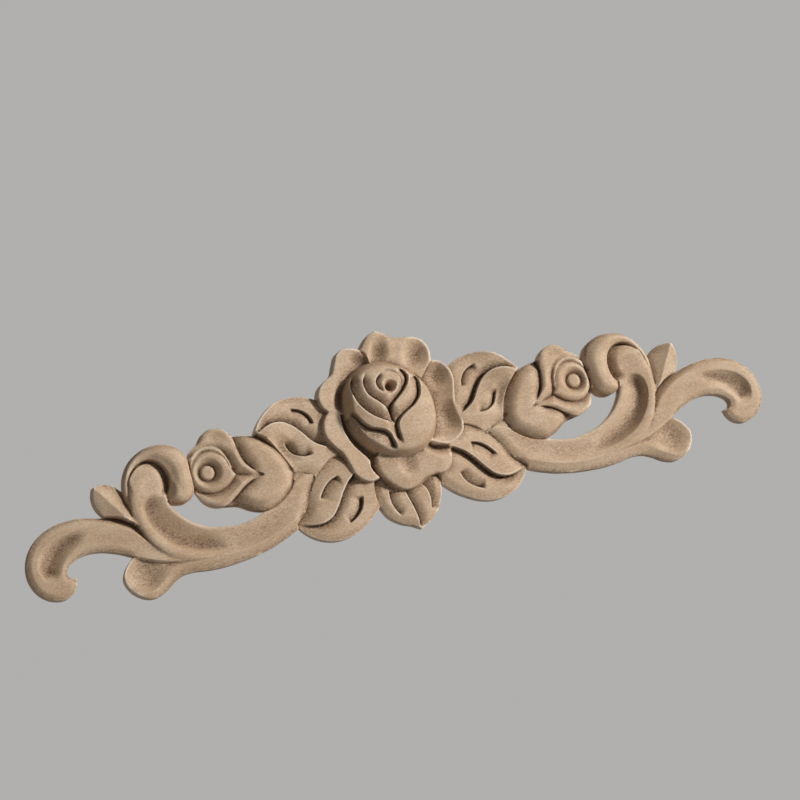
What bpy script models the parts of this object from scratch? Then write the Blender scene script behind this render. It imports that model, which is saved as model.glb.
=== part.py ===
# A carved wooden applique: one piece of pale wood with a flat back, carved as a rose on four leaves between
# two mirrored scrolls, each with a bud, a volute, a sprout, a lobe and a curling tail. It is made to be fixed
# to furniture, a door or a mantel by its back.
#
# The carving is a stack of painted layers. Each element has an outline, a surface and cuts, and covers the
# elements before it. The mesh follows the outlines and cuts of what is left in sight, and is closed with a
# flat back.

import math

import bpy
import numpy as np
from mathutils import Vector
from mathutils.geometry import delaunay_2d_cdt
from mathutils.kdtree import KDTree

NODE = "carved_applique"
MM = 0.001

# Driving dimensions, in millimetres. The drawing below is at real size: x runs along the carving from the
# middle of the rose, y runs up it, and heights are measured out from the flat back.
PANEL_WALL = 0.7
DOME_WALL = 0.8
DOME_ROUND = 4.6
DOME_TOP = 22.0
DOME_SHOULDER = 17.4
DOME_BASE = 10.6
PETAL_RIM = 10.8
LEAF_HEIGHT = 7.0
LEAF_TIP_HEIGHT = 10.8
BUD_CROWN = 11.4
BUD_EDGE = 5.4
BUD_ROUND = 8.0
BUD_RING_HEIGHT = 10.6
BUTTON_HEIGHT = 7.6
ARM_RIM = 7.8
TONGUE_HEIGHT = 10.6
ROLL_CREST = 12.4
ROLL_EDGE = 7.8
TAIL_HEIGHT = 7.6
SPROUT_RIDGE = 9.6
GROUND_HEIGHT = 4.0
DEEP_CUT = 4.0
VEIN_CUT = 3.0
STEEP_WIDTH = 1.5

# How closely the mesh follows the carving, in millimetres: along its lines and on open surfaces, how far
# open points stay from a line as a part of FILL, and how near two points count as one.
SPACING = 3.0
FILL = 5.5
FILL_CLEARANCE = 0.55
MEETING = 0.3
STEPS = 16
ROUND_ROWS = (0.35, 1.0)
FOOT_CLEARANCE = 1.03

# A height below 0 stands for no carving, and a point this near to an outline counts as on it.
NOTHING = -1.0
ON_OUTLINE = -0.002

WOOD = (0.53, 0.40, 0.29, 1.0)
ROUGHNESS = 0.72
SHARP_ANGLE = math.radians(38)


# Curves and distances


def smooth(points):
    """Close points on a smooth curve through the given ones, STEPS to each span."""
    given = np.array(points, float)
    padded = np.vstack([2 * given[0] - given[1], given, 2 * given[-1] - given[-2]])
    steps = np.linspace(0, 1, STEPS + 1)[:-1, None]
    pieces = []
    for before, start, end, after in zip(padded[:-3], padded[1:-2], padded[2:-1], padded[3:]):
        gap_before = math.sqrt(math.dist(before, start))
        gap = math.sqrt(math.dist(start, end))
        gap_after = math.sqrt(math.dist(end, after))
        leave = (end - start) / gap - (end - before) / (gap_before + gap) + (start - before) / gap_before
        arrive = (after - end) / gap_after - (after - start) / (gap + gap_after) + (end - start) / gap
        pieces.append(
            (2 * steps**3 - 3 * steps**2 + 1) * start
            + (steps**3 - 2 * steps**2 + steps) * leave * gap
            + (3 * steps**2 - 2 * steps**3) * end
            + (steps**3 - steps**2) * arrive * gap
        )
    pieces.append(given[-1:])
    return np.vstack(pieces)


def spaced(dense):
    """The same line with points SPACING apart."""
    run = np.concatenate([[0], np.cumsum(np.hypot(*np.diff(dense, axis=0).T))])
    places = np.linspace(0, run[-1], max(round(run[-1] / SPACING), 2) + 1)
    return np.column_stack([np.interp(places, run, dense[:, 0]), np.interp(places, run, dense[:, 1])])


def curve(*points):
    return spaced(smooth(points))


def joined(*curves):
    """One closed outline from curves that follow each other, with a corner where two of them meet."""
    return np.vstack([part[:-1] for part in curves])


def loop(*points):
    """A closed smooth outline through the given points."""
    around = smooth(points[-2:] + points + points[:3])
    return spaced(around[2 * STEPS:(2 + len(points)) * STEPS + 1])[:-1]


def ellipse(centre, half_width, half_height):
    turns = 2 * math.pi * max(half_width, half_height)
    angles = np.linspace(0, 2 * math.pi, max(round(turns / SPACING), 12), endpoint=False)
    around = np.column_stack([half_width * np.cos(angles), half_height * np.sin(angles)])
    return around + centre


def measure(path, x, y, closed=False):
    """Distance to a path, which side of it (above 0 on its left), and how far along it, from 0 to 1."""
    starts = path if closed else path[:-1]
    ends = np.roll(path, -1, axis=0) if closed else path[1:]
    lengths = np.hypot(*(ends - starts).T)
    along_to = np.concatenate([[0], np.cumsum(lengths)])
    across = np.column_stack([starts[:, 1] - ends[:, 1], ends[:, 0] - starts[:, 0]]) / lengths[:, None]
    if closed:
        corner = across + np.roll(across, 1, axis=0)
        corner = np.vstack([corner, corner[:1]])
    else:
        corner = np.vstack([across[:1], across[:-1] + across[1:], across[-1:]])
    nearest = np.full(x.shape, np.inf)
    side = np.zeros(x.shape)
    along = np.zeros(x.shape)
    for k, length in enumerate(lengths):
        way_x, way_y = (ends[k] - starts[k]) / length
        from_x = x - starts[k, 0]
        from_y = y - starts[k, 1]
        reach = from_x * way_x + from_y * way_y
        held = np.clip(reach, 0, length)
        off_x = from_x - held * way_x
        off_y = from_y - held * way_y
        squared = off_x * off_x + off_y * off_y
        nearer = squared < nearest - 1e-12
        normal = np.where(
            (reach < 0)[..., None], corner[k],
            np.where((reach > length)[..., None], corner[k + 1], across[k]),
        )
        nearest = np.where(nearer, squared, nearest)
        side = np.where(nearer, off_x * normal[..., 0] + off_y * normal[..., 1], side)
        along = np.where(nearer, (along_to[k] + held) / along_to[-1], along)
    return np.sqrt(nearest), side, along


def inside(outline, x, y):
    found = np.zeros(x.shape, bool)
    for (start_x, start_y), (end_x, end_y) in zip(outline, np.roll(outline, -1, axis=0)):
        if start_y == end_y:
            continue
        crosses = (start_y > y) != (end_y > y)
        found ^= crosses & (x < (end_x - start_x) * (y - start_y) / (end_y - start_y) + start_x)
    return found


def ease(value):
    """0 below 0, 1 above 1, and a smooth rise between them."""
    held = np.clip(value, 0, 1)
    return held * held * (3 - 2 * held)


def between(value, *pairs):
    """The value read from a line through pairs of place and height."""
    table = np.array(pairs, float)
    return np.interp(value, table[:, 0], table[:, 1])


def swell(x, y, centre, half_length, half_width, turn, height):
    """A soft oval bump, or a dish where the height is negative."""
    angle = math.radians(turn)
    along = (x - centre[0]) * math.cos(angle) + (y - centre[1]) * math.sin(angle)
    across = (y - centre[1]) * math.cos(angle) - (x - centre[0]) * math.sin(angle)
    left = np.clip(1 - (along / half_length) ** 2 - (across / half_width) ** 2, 0, 1)
    return height * left * left


def scooped(distance, width):
    """How far a gouged surface has fallen, from 0 at a crisp edge to 1 where its floor is level."""
    return 1 - (1 - np.clip(distance / width, 0, 1)) ** 2


# The carver's cuts


class Cut:
    """A carved line. left and right say over what width the surface falls to it on each side."""

    def __init__(self, path, depth, left, right, fade=(0.15, 0.15), power=1.5):
        self.path = path
        self.depth = depth
        self.left = left
        self.right = right
        self.fade = fade
        self.power = power

    def reach(self):
        return max(self.left, self.right)

    def rows(self):
        """Lines that the mesh follows: the cut itself and the lip of its steep side."""
        lip = self.left if self.left < self.right else -self.right
        return [self.path, offset(self.path, lip)]

    def fall(self, distance, side):
        width = np.where(side > 0, self.left, self.right)
        power = np.where(width < STEEP_WIDTH, 1.0, self.power)
        return np.clip(1 - distance / width, 0, 1) ** power

    def drop(self, x, y):
        low = self.path.min(axis=0) - self.reach()
        high = self.path.max(axis=0) + self.reach()
        near = (x > low[0]) & (x < high[0]) & (y > low[1]) & (y < high[1])
        dropped = np.zeros(x.shape)
        if not near.any():
            return dropped
        distance, side, along = measure(self.path, x[near], y[near])
        strength = 1.0
        if self.fade[0]:
            strength = strength * ease(along / self.fade[0])
        if self.fade[1]:
            strength = strength * ease((1 - along) / self.fade[1])
        dropped[near] = self.depth * strength * self.fall(distance, side)
        return dropped


class Hollow:
    """A hollow, steep under a crisp edge, level at its floor and rising softly to the bank opposite."""

    def __init__(self, edge, bank, depth, floor, rise):
        self.edge = edge
        self.bank = bank
        self.depth = depth
        self.floor = floor
        self.rise = rise

    def rows(self):
        return [self.edge]

    def drop(self, x, y):
        to_edge, _, _ = measure(self.edge, x, y)
        to_bank, _, _ = measure(self.bank, x, y)
        shape = scooped(to_edge, self.floor) * ease(to_bank / self.rise)
        return np.where(inside(joined(self.edge, self.bank), x, y), self.depth * shape, 0)


class Ridge:
    """A line where two slopes meet. It cuts nothing and gives the mesh an edge to follow."""

    def __init__(self, path):
        self.path = path

    def rows(self):
        return [self.path]

    def drop(self, x, y):
        return 0.0


def offset(path, distance, closed=False):
    """The path moved sideways, to its left where the distance is above 0."""
    if closed:
        way = np.roll(path, -1, axis=0) - np.roll(path, 1, axis=0)
    else:
        way = np.gradient(path, axis=0)
    way = way / np.hypot(*way.T)[:, None]
    return path + distance * np.column_stack([-way[:, 1], way[:, 0]])


def area(outline):
    ahead = np.roll(outline, -1, axis=0)
    return 0.5 * np.sum(outline[:, 0] * ahead[:, 1] - ahead[:, 0] * outline[:, 1])


class Layer:
    """One element of the carving, painted over those before it: its outline, its surface and its cuts."""

    def __init__(self, outline, surface, cuts=(), wall=PANEL_WALL):
        self.outline = outline
        self.surface = surface
        self.cuts = cuts
        self.wall = wall

    def height(self, x, y):
        """Height, and distance inside the outline, below 0 outside it."""
        distance, _, _ = measure(self.outline, x, y, closed=True)
        within = inside(self.outline, x, y)
        height = self.surface(x, y, np.where(within, distance, 0.0))
        for cut in self.cuts:
            height = height - cut.drop(x, y)
        return height, np.where(within, distance, -distance)


# Ground: what shows at the bottom of the deepest gaps


def scroll_ground():
    outline = loop(
        (150, 6), (143, 17), (149, 31), (160, 34), (171, 28), (179, 13), (180, 2), (176, -8), (164, 4),
    )
    return Layer(outline, lambda x, y, depth: GROUND_HEIGHT + 0 * x)


def rose_ground():
    outline = ellipse((-1, 22), 33, 36)
    return Layer(outline, lambda x, y, depth: GROUND_HEIGHT + 0 * x)


# The scroll at each end


def sprout():
    outline = joined(
        curve((193, 3), (197, 10), (197.6, 17), (195.8, 22.6)),
        curve((195.8, 22.6), (189, 23.5), (183, 21.4), (177.5, 15.8)),
        curve((177.5, 15.8), (171, 4), (174, -14)),
        curve((174, -14), (184, -7), (193, 3)),
    )
    ridge = curve((195.8, 22.6), (186, 8), (177, -6), (172, -14))

    def surface(x, y, depth):
        away, side, _ = measure(ridge, x, y)
        return SPROUT_RIDGE - np.where(side > 0, 0.36, 0.62) * away

    return Layer(outline, surface, [Ridge(ridge)])


def lobe():
    crest = curve(
        (100, -36.2), (125, -37.4), (142, -37.2), (153, -36.6), (161, -38.3), (169, -43.2), (177, -47.6),
        (186, -47.0),
    )
    outline = joined(
        curve(
            (100, -40.3), (110, -42.2), (120, -43.2), (130, -43.6), (140, -43), (149, -41.8),
            (156, -42.4), (162, -45), (169, -49.4), (176, -51.4), (183, -49.6), (189.5, -43.6),
            (191.8, -36), (188.6, -29.3), (182.4, -23.7),
        ),
        curve((182.4, -23.7), (165, -22), (145, -28), (110, -34), (100, -36)),
        curve((100, -36), (100, -40.3)),
    )

    def surface(x, y, depth):
        away, side, _ = measure(crest, x, y)
        rim = between(x, (100, ARM_RIM), (130, ARM_RIM - 0.2), (165, 6.4), (185, 7.6))
        bevel = between(x, (110, 0.55), (150, 0.42), (165, 0.50), (180, 0.45))
        dish = swell(x, y, (178.5, -35.5), 14, 12.5, 20, -3.6)
        side_slope = -1.2 * ease(away / 6) * ease((x - 135) / 25)
        return rim + np.where(side > 0, dish + side_slope, -bevel * np.minimum(away, 7))

    return Layer(outline, surface, [Ridge(crest)])


def tail():
    upper = curve(
        (150, -26), (162, -20), (170, -13.5), (177, -5), (185, 0.6), (193, 3.4), (203, 5.9), (214, 7.1),
        (225, 6.2), (235, 2.4), (242.6, -4.2), (247, -12.5), (248, -21), (245.2, -30), (238.6, -36.4),
        (230, -38.6), (224, -36.2), (220.6, -31.8), (219.4, -27.6),
    )
    lower = curve(
        (219.4, -27.6), (222.8, -26.8), (224.6, -24.2), (222.8, -20.4), (218, -17.2), (210, -15.2),
        (200, -16.2), (190, -19.8), (182.4, -23.7), (170, -29.4), (158, -33.2), (145, -35),
    )
    outline = joined(upper, lower, curve((145, -35), (146, -30), (150, -26)))
    crest = curve((166, -24), (172, -17.4), (180, -8.8), (190, -2.6), (200, 1.0), (210, 2.4))

    def surface(x, y, depth):
        to_upper, _, _ = measure(upper, x, y)
        to_lower, _, _ = measure(lower, x, y)
        away, side, along = measure(crest, x, y)
        bevel = (side > 0) * ease(along / 0.2) * ease((1 - along) / 0.3) * np.clip(away / 5, 0, 1)
        upper_round = 1.4 * (1 - ease(to_upper / 3.5)) * ease((x - 190) / 15)
        lower_round = 1.4 * (1 - ease(to_lower / 4)) * ease((x - 180) / 6)
        return TAIL_HEIGHT - 5.4 * bevel - upper_round - lower_round

    edge = curve(
        (203, -1.2), (214, -0.4), (225, -1.8), (233.6, -5.6), (239.4, -11.6), (241.3, -18), (239.6, -24),
        (235.4, -28),
    )
    bank = curve((235.4, -28), (230.4, -26.6), (226, -21), (220, -14), (211, -8.5), (203, -1.2))
    hollow = Hollow(edge, bank, 4.8, 8, 9)
    return Layer(outline, surface, [Ridge(crest), hollow])


def arm():
    """The C scroll: a cove above a bevelled rim, ending in the tongue inside the volute."""
    outer = curve(
        (66, -24), (72, -29), (81, -34), (90, -37.5), (100, -40.3), (108, -40.2), (118, -38.6),
        (133, -37.0), (147, -35), (158, -31.0), (165, -24.8), (170.8, -17), (174.2, -8.5), (176.6, 1),
        (177.2, 11),
    )
    head = curve(
        (177.2, 11), (175, 18.5), (170.2, 25), (164, 28.6), (157.5, 28.6), (152.6, 25), (150.6, 19),
        (151, 12.5), (153.4, 7.5),
    )
    inner = curve(
        (153.4, 7.5), (152.8, 2), (149.1, -4.6), (143, -11.2), (134.6, -16.4), (124.6, -19.5),
        (113, -20.8), (102, -19.2), (92, -15), (80, -8), (70, -2), (60, 0),
    )
    outline = joined(outer, head, inner, curve((60, 0), (58, -14), (66, -24)))
    crest = curve(
        (60, -20), (72, -23.5), (84, -28.8), (97, -33.4), (110, -36.2), (125, -36.8), (138, -35.6),
        (150, -32.0), (160, -26.2), (167, -18.6), (171.4, -10), (173.6, 0), (173.8, 10),
    )

    def surface(x, y, depth):
        away, side, _ = measure(crest, x, y)
        to_inner, _, _ = measure(inner, x, y)
        to_head, _, _ = measure(head, x, y)
        rim = between(x, (60, ARM_RIM), (135, ARM_RIM), (168, 9.6))
        across = away / (away + to_inner + 1e-6)
        bevel = between(x, (60, 0.55), (108, 0.55), (125, 0.3), (180, 0.3))
        sag = between(x, (60, 0.8), (100, 1.6), (140, 1.4), (170, 0.4))
        cove = sag * np.sin(math.pi * across) + 0.9 * across
        height = rim - np.where(side < 0, bevel * np.minimum(away, 7), cove)
        height = height - 0.8 * (1 - ease(to_inner / 1.8)) * (y < 4)
        on_tongue = ease((y - 2) / 10) * (x > 140)
        height = height + (TONGUE_HEIGHT - 9.2) * on_tongue
        roll_off = between(x, (150, 4.4), (157, 3.2), (166, 1.6), (172, 0.8)) * (1 - ease(to_head / 6.0))
        return height - roll_off * ease((y - 6) / 5)

    edge = curve(
        (118, -34), (132, -32.8), (145, -30), (156, -25), (164.4, -17), (169.4, -8), (170.8, 0), (169, 6),
        (164.4, 9.4), (158.5, 9.4), (154, 7.2),
    )
    bank = curve(
        (154, 7.2), (153.2, 1.8), (149.4, -5), (143, -11.6), (134.8, -17), (127, -23), (118, -34),
    )
    hollow = Hollow(edge, bank, 5.2, 7, 15)
    leaf_side = curve((57.5, -4), (63, -11), (67.5, -19), (71.2, -24.5), (77.8, -29.8))
    under_leaf = Cut(leaf_side, 2.8, 6.5, 0.6, (0, 0.2), 1.5)
    return Layer(outline, surface, [Ridge(crest), hollow, under_leaf])


def roll():
    """The volute: a band that thins out as it wraps over the tongue."""
    outer = curve(
        (177.3, 0), (178, 9), (177.8, 17), (174.8, 26), (169.2, 33.2), (161.5, 37.6), (153, 38.9),
        (145, 37.6), (138, 33.2), (134.5, 26.4), (133.8, 18), (134.8, 9), (137.2, 3), (142, 0.3),
        (147.4, 0.4), (152, 2.8), (153.2, 6.5),
    )
    inner = curve(
        (153.2, 6.5), (150, 10.8), (148.4, 16.4), (149.2, 22.4), (152, 27.4), (156.6, 30.6),
        (162.5, 31.2), (168.5, 28.4), (173, 22.8), (175.6, 15), (176.8, 7.5), (177.3, 0),
    )
    outline = joined(outer, inner)

    def surface(x, y, depth):
        to_outer, _, _ = measure(outer, x, y)
        to_inner, _, _ = measure(inner, x, y)
        width = to_outer + to_inner
        across = to_outer / (width + 1e-6)
        full = ease(width / 12)
        climb = ease((across + 0.14) / 0.62)
        fall = ease((across - 0.6) / 0.4)
        edge_round = 0.9 * (1 - ease(to_outer / 1.6))
        return ROLL_EDGE + (ROLL_CREST - ROLL_EDGE) * full * climb - 2.4 * full * fall - edge_round

    return Layer(outline, surface)


def rounds(outline, width):
    """Lines beside an outline that carry the mesh round a swelling side."""
    inwards = math.copysign(width, area(outline))
    return [Ridge(offset(outline, inwards * part, closed=True)) for part in ROUND_ROWS]


# The bud


BUD_RING = [
    (108.2, 9.4), (110.4, 14.5), (112, 20.5), (116, 25), (122.3, 26.8), (128.8, 25.2), (133.2, 20.5),
    (134.7, 14), (133.2, 8), (129.4, 3.8), (123.7, 2), (117, 3.2), (112, 6.0), (108.2, 9.4),
]


def bud_body():
    outline = joined(
        curve((71.6, 2.5), (75, 12.5), (80.3, 21.5), (88, 29.1), (96, 31.8), (106, 33.6)),
        curve((106, 33.6), (125, 25), (125, 0), (119, -8)),
        curve(
            (119, -8), (111, -9.6), (103, -14.4), (95, -16.7), (86.5, -14.7), (79, -10), (74, -5),
            (71.6, 2.5),
        ),
    )

    def surface(x, y, depth):
        side = np.sin(0.5 * math.pi * np.clip(depth / BUD_ROUND, 0, 1))
        return BUD_EDGE + (BUD_CROWN - BUD_EDGE) * side - 1.2 * ease((x - 100) / 20)

    upper_scoop = Cut(
        curve((91.5, 5.2), (96.6, 9.5), (100.6, 15.5), (102.6, 23), (103.6, 33)), 4.2, 8, 0.6, (0.35, 0),
        1.7,
    )
    lower_scoop = Cut(
        curve((91.5, 4.2), (98, 3.0), (105, 0.2), (112, -4.6), (118, -8.2)), 3.4, 0.6, 7, (0.35, 0.2),
        1.7,
    )
    return Layer(outline, surface, [upper_scoop, lower_scoop] + rounds(outline, BUD_ROUND))


def bud_petal():
    outline = joined(
        curve(
            (91.5, 4.8), (97.3, 9.6), (101.3, 15.6), (103.2, 23.5), (104.3, 32), (108.2, 37.6),
            (114.5, 40.2), (120.5, 38.6), (125.4, 33.4),
        ),
        curve((125.4, 33.4), (131.3, 29.6), (134.2, 22), (134.6, 12), (134, 4.4)),
        curve(
            (134, 4.4), (130.7, -2.6), (125, -6.8), (118.5, -7.6), (111.5, -3.8), (104.5, 1.0), (98, 3.8),
            (91.5, 4.8),
        ),
    )
    ring = joined(curve(*BUD_RING))
    crease = curve((108.8, 9.7), (100, 6.9), (91.5, 4.8))

    def surface(x, y, depth):
        to_ring, _, _ = measure(ring, x, y, closed=True)
        to_crease, _, along = measure(crease, x, y)
        to_ring = np.minimum(to_ring, to_crease + 3.4 * along)
        towards_ring = 4.4 * np.clip(1 - to_ring / 6.4, 0, 1) ** 1.3
        edge_round = 1.0 * (1 - ease(depth / 2.2))
        dish = swell(x, y, (114, 35), 8, 6, 0, -0.8)
        return 12.0 - 0.10 * (x - 96) - towards_ring - edge_round + dish

    return Layer(outline, surface, [Ridge(crease)])


def bud_crescent():
    outline = joined(
        curve((109.4, 14), (111.2, 21.5), (114.8, 27.6), (121, 30.6), (127.6, 29.8), (133, 25.4)),
        curve((133, 25.4), (133, 12), (121, 10), (109.4, 14)),
    )

    def surface(x, y, depth):
        return 10.0 - 0.08 * (x - 110) - 2.4 * ease((depth - 1.2) / 3.0) - 0.6 * (1 - ease(depth / 1.2))

    return Layer(outline, surface)


def bud_ring():
    outline = joined(curve(*BUD_RING))

    def surface(x, y, depth):
        from_button = np.hypot(x - 124.2, y - 14.6)
        bowl = 4.2 * np.clip((9.4 - from_button) / 4.4, 0, 1) ** 1.5
        return BUD_RING_HEIGHT - 0.10 * (x - 109) - bowl - 1.1 * (1 - ease(depth / 2.2))

    return Layer(outline, surface)


def bud_button():
    def surface(x, y, depth):
        return BUTTON_HEIGHT - 2.2 * (1 - np.clip(depth / 2.6, 0, 1)) ** 2.2

    return Layer(ellipse((124.2, 14.6), 4.9, 4.9), surface, (), 0.5)


# The leaves


def upper_leaf():
    outline = joined(
        curve(
            (38, 38), (46, 43.3), (53, 46.5), (61, 47.7), (69, 47.2), (76.4, 44.2), (82.8, 39),
            (87.4, 33.6), (89.6, 29.6),
        ),
        curve((89.6, 29.6), (80.5, 21.5), (75, 12.5), (71.6, 2.8)),
        curve((71.6, 2.8), (64, -0.5), (55, -4), (45, -4), (36, 5)), curve((36, 5), (32, 20), (38, 38)),
    )
    midrib = curve(
        (44, 12), (49, 14.5), (54, 18), (58.5, 24), (63.5, 30), (70, 34), (77, 34.8), (83, 33.2),
        (89, 29.8),
    )

    def surface(x, y, depth):
        away, side, along = measure(midrib, x, y)
        rise = (LEAF_TIP_HEIGHT - LEAF_HEIGHT) * ease((x - 63 + 0.2 * (y - 20)) / 22)
        lower_half = np.where(side < 0, 1.4 * ease(along / 0.3), 0) * np.clip(1 - away / 16, 0, 1)
        hollow = swell(x, y, (73, 17), 14, 8, 58, -3.4)
        edge_round = 1.5 * (1 - ease(depth / 6)) * (1 - 0.6 * ease((x - 66) / 10))
        return LEAF_HEIGHT + rise + lower_half + hollow - edge_round

    rib = Cut(midrib, DEEP_CUT, 9, 0.6, (0.12, 0.2), 2)
    upper_vein = Cut(
        curve((50.6, 28), (52, 33), (56, 37.6), (63, 40.5)), VEIN_CUT, 0.6, 6.5, (0.14, 0.22), 1.6,
    )
    lower_vein = Cut(
        curve((58, 10.3), (64, 11), (68.6, 14.5), (71, 20)), VEIN_CUT, 8, 0.6, (0.25, 0.18), 1.4,
    )
    return Layer(outline, surface, [rib, upper_vein, lower_vein])


def lower_leaf():
    outline = joined(
        curve(
            (30, 2), (44, 4.8), (51, 1.5), (57.5, -4), (63, -11), (67.5, -19), (71.2, -24.5),
            (77.8, -29.8),
        ),
        curve(
            (77.8, -29.8), (76.6, -33.3), (71, -39.6), (63.4, -44.2), (53.8, -46.2), (44, -44.9),
            (35, -40.8), (27, -35.2), (19.6, -27.6),
        ),
        curve((19.6, -27.6), (16, -20), (20, -8), (30, 2)),
    )
    midrib = curve(
        (31, -7), (37, -10.5), (43, -16.5), (48.5, -24), (54.5, -30.8), (62, -33.8), (70, -33),
        (77.2, -30),
    )

    def surface(x, y, depth):
        away, side, along = measure(midrib, x, y)
        upper_half = np.where(side > 0, 1.8, 0) * np.clip(1 - away / 14, 0, 1) * ease((1 - along) / 0.3)
        towards_tip = 1.6 * ease((x - 60) / 16)
        return LEAF_HEIGHT + upper_half - towards_tip - 1.5 * (1 - ease(depth / 6))

    rib = Cut(midrib, DEEP_CUT, 0.6, 9, (0.05, 0.25), 2)
    upper_vein = Cut(
        curve((44.5, -7.2), (50.5, -9.2), (55.5, -13.2), (60, -19)), VEIN_CUT, 0.6, 8, (0.16, 0.24), 1.5,
    )
    lower_vein = Cut(
        curve((33, -23), (35.5, -29.5), (40, -34), (46.5, -37.5)), 3.4, 8.5, 0.6, (0.12, 0.24), 1.5,
    )
    return Layer(outline, surface, [rib, upper_vein, lower_vein])


def stem():
    outline = loop((56, 1), (66, 3.4), (75, 4), (79, -4), (80, -12), (70, -14), (60, -10))
    ridge = curve((56, -3), (66, -3.4), (78, -3))

    def surface(x, y, depth):
        away, _, _ = measure(ridge, x, y)
        return 6.4 - 0.28 * away

    return Layer(outline, surface, [Ridge(ridge)])


def bottom_leaf():
    outline = joined(
        curve(
            (-20, -6), (-23.8, -22), (-23.5, -31.5), (-20, -39.8), (-13.2, -45.6), (-6, -48.8),
            (-1.2, -51.8),
        ),
        curve(
            (-1.2, -51.8), (5.4, -48.6), (11.6, -43.8), (15.8, -38), (18.4, -31), (19.2, -24), (17, -12),
        ),
        curve((17, -12), (0, -4), (-20, -6)),
    )
    midrib = curve((-4.8, -22), (-4.4, -29), (-2.8, -36), (-1.6, -43), (-1.4, -51.8))

    def surface(x, y, depth):
        under_petals = 2.6 * ease((y + 30) / 12)
        return 7.2 - under_petals - 1.6 * (1 - ease(depth / 5))

    rib = Cut(midrib, 2.8, 6.5, 0.6, (0, 0.15), 1.6)
    left_vein = Cut(
        curve((-15, -24), (-15.8, -30), (-14.4, -36), (-11.4, -41.5)), VEIN_CUT, 6.5, 0.6, (0.05, 0.25),
        1.5,
    )
    right_vein = Cut(
        curve((7.2, -24), (9.6, -30), (9.8, -36), (8.2, -42)), 3.6, 9, 0.6, (0.05, 0.25), 1.4,
    )
    return Layer(outline, surface, [rib, left_vein, right_vein])


# The rose


def petal(rim_line, closing, fall, width, dishes=(), rim=PETAL_RIM):
    """A petal that falls from its free rim towards the heart of the rose."""
    outline = joined(rim_line, closing)

    def surface(x, y, depth):
        from_rim, _, _ = measure(rim_line, x, y)
        height = rim - fall * scooped(from_rim, width) - 0.5 * (1 - ease(from_rim / 1.2))
        for centre, half_length, half_width, turn, drop in dishes:
            height = height + swell(x, y, centre, half_length, half_width, turn, -drop)
        return height

    return Layer(outline, surface)


def top_petal():
    rim = curve(
        (-8.4, 66), (-4.6, 70.6), (-0.6, 73.8), (4, 74.9), (8.6, 72.6), (13.5, 68.8), (20, 67.2),
        (27, 66), (32.4, 63), (35.2, 57), (34.6, 49),
    )
    return petal(
        rim, curve((34.6, 49), (27, 36), (0, 36), (-14, 52), (-8.4, 66)), -1.6, 20,
        [((2, 62), 11.5, 7.5, 65, 3.8), ((25.5, 55), 13.5, 10.5, 50, 5.6)],
    )


def right_petal():
    rim = curve(
        (34.6, 49), (40, 46.8), (44, 42), (45.4, 35), (43.8, 27.5), (42.0, 20), (42.4, 13), (43.4, 7),
        (41.7, 1), (37, -2.8), (30.5, -5), (24, -3), (16.5, 1),
    )
    return petal(
        rim, curve((16.5, 1), (15, 25), (34.6, 49)), 4.6, 14,
        [((36, 39), 10, 8, 75, 2.0), ((36, 13), 12, 9, 90, 3.0)],
    )


def upper_left_petal():
    rim = curve(
        (-7, 54), (-6.6, 60), (-9.6, 65.6), (-14, 67.9), (-19.4, 68.8), (-24, 66.8), (-27.8, 60.6),
        (-31, 55), (-36.4, 52), (-41, 48.6), (-43.6, 43), (-43.2, 37), (-39.6, 32),
    )
    return petal(
        rim, curve((-39.6, 32), (-20, 28), (-7, 54)), 1.4, 14,
        [((-12, 59), 9, 7, 120, 2.2), ((-29, 40), 13, 6, 70, 3.4)],
    )


def lower_left_petal():
    rim = curve(
        (-33, 31.5), (-36, 33.4), (-40.4, 32), (-45, 26.4), (-45.9, 18.5), (-42.5, 11), (-38.2, 5),
        (-36.2, -2), (-34.8, -8), (-31.4, -13), (-26.4, -15.8), (-20.2, -15.2),
    )
    return petal(
        rim,
        curve((-20.2, -15.2), (-23.4, -8), (-23.2, -3), (-26.8, 3), (-31, 10), (-33.6, 19), (-33, 31.5)),
        0.9, 12,
    )


def bottom_petal():
    rim = curve(
        (-18.4, -2), (-19, -9), (-16, -17), (-11, -23), (-5, -26.2), (2, -25.6), (9, -22), (16, -21),
        (23, -21.3), (28, -17.5), (30.2, -11.5), (29.6, -5),
    )
    return petal(
        rim, curve((29.6, -5), (24, 2), (0, 8), (-18.4, -2)), -2.2, 20,
        [((0, -12), 9, 8, 90, 2.0), ((23, -4), 13, 7.5, 160, 8.0)], 10.0,
    )


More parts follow.
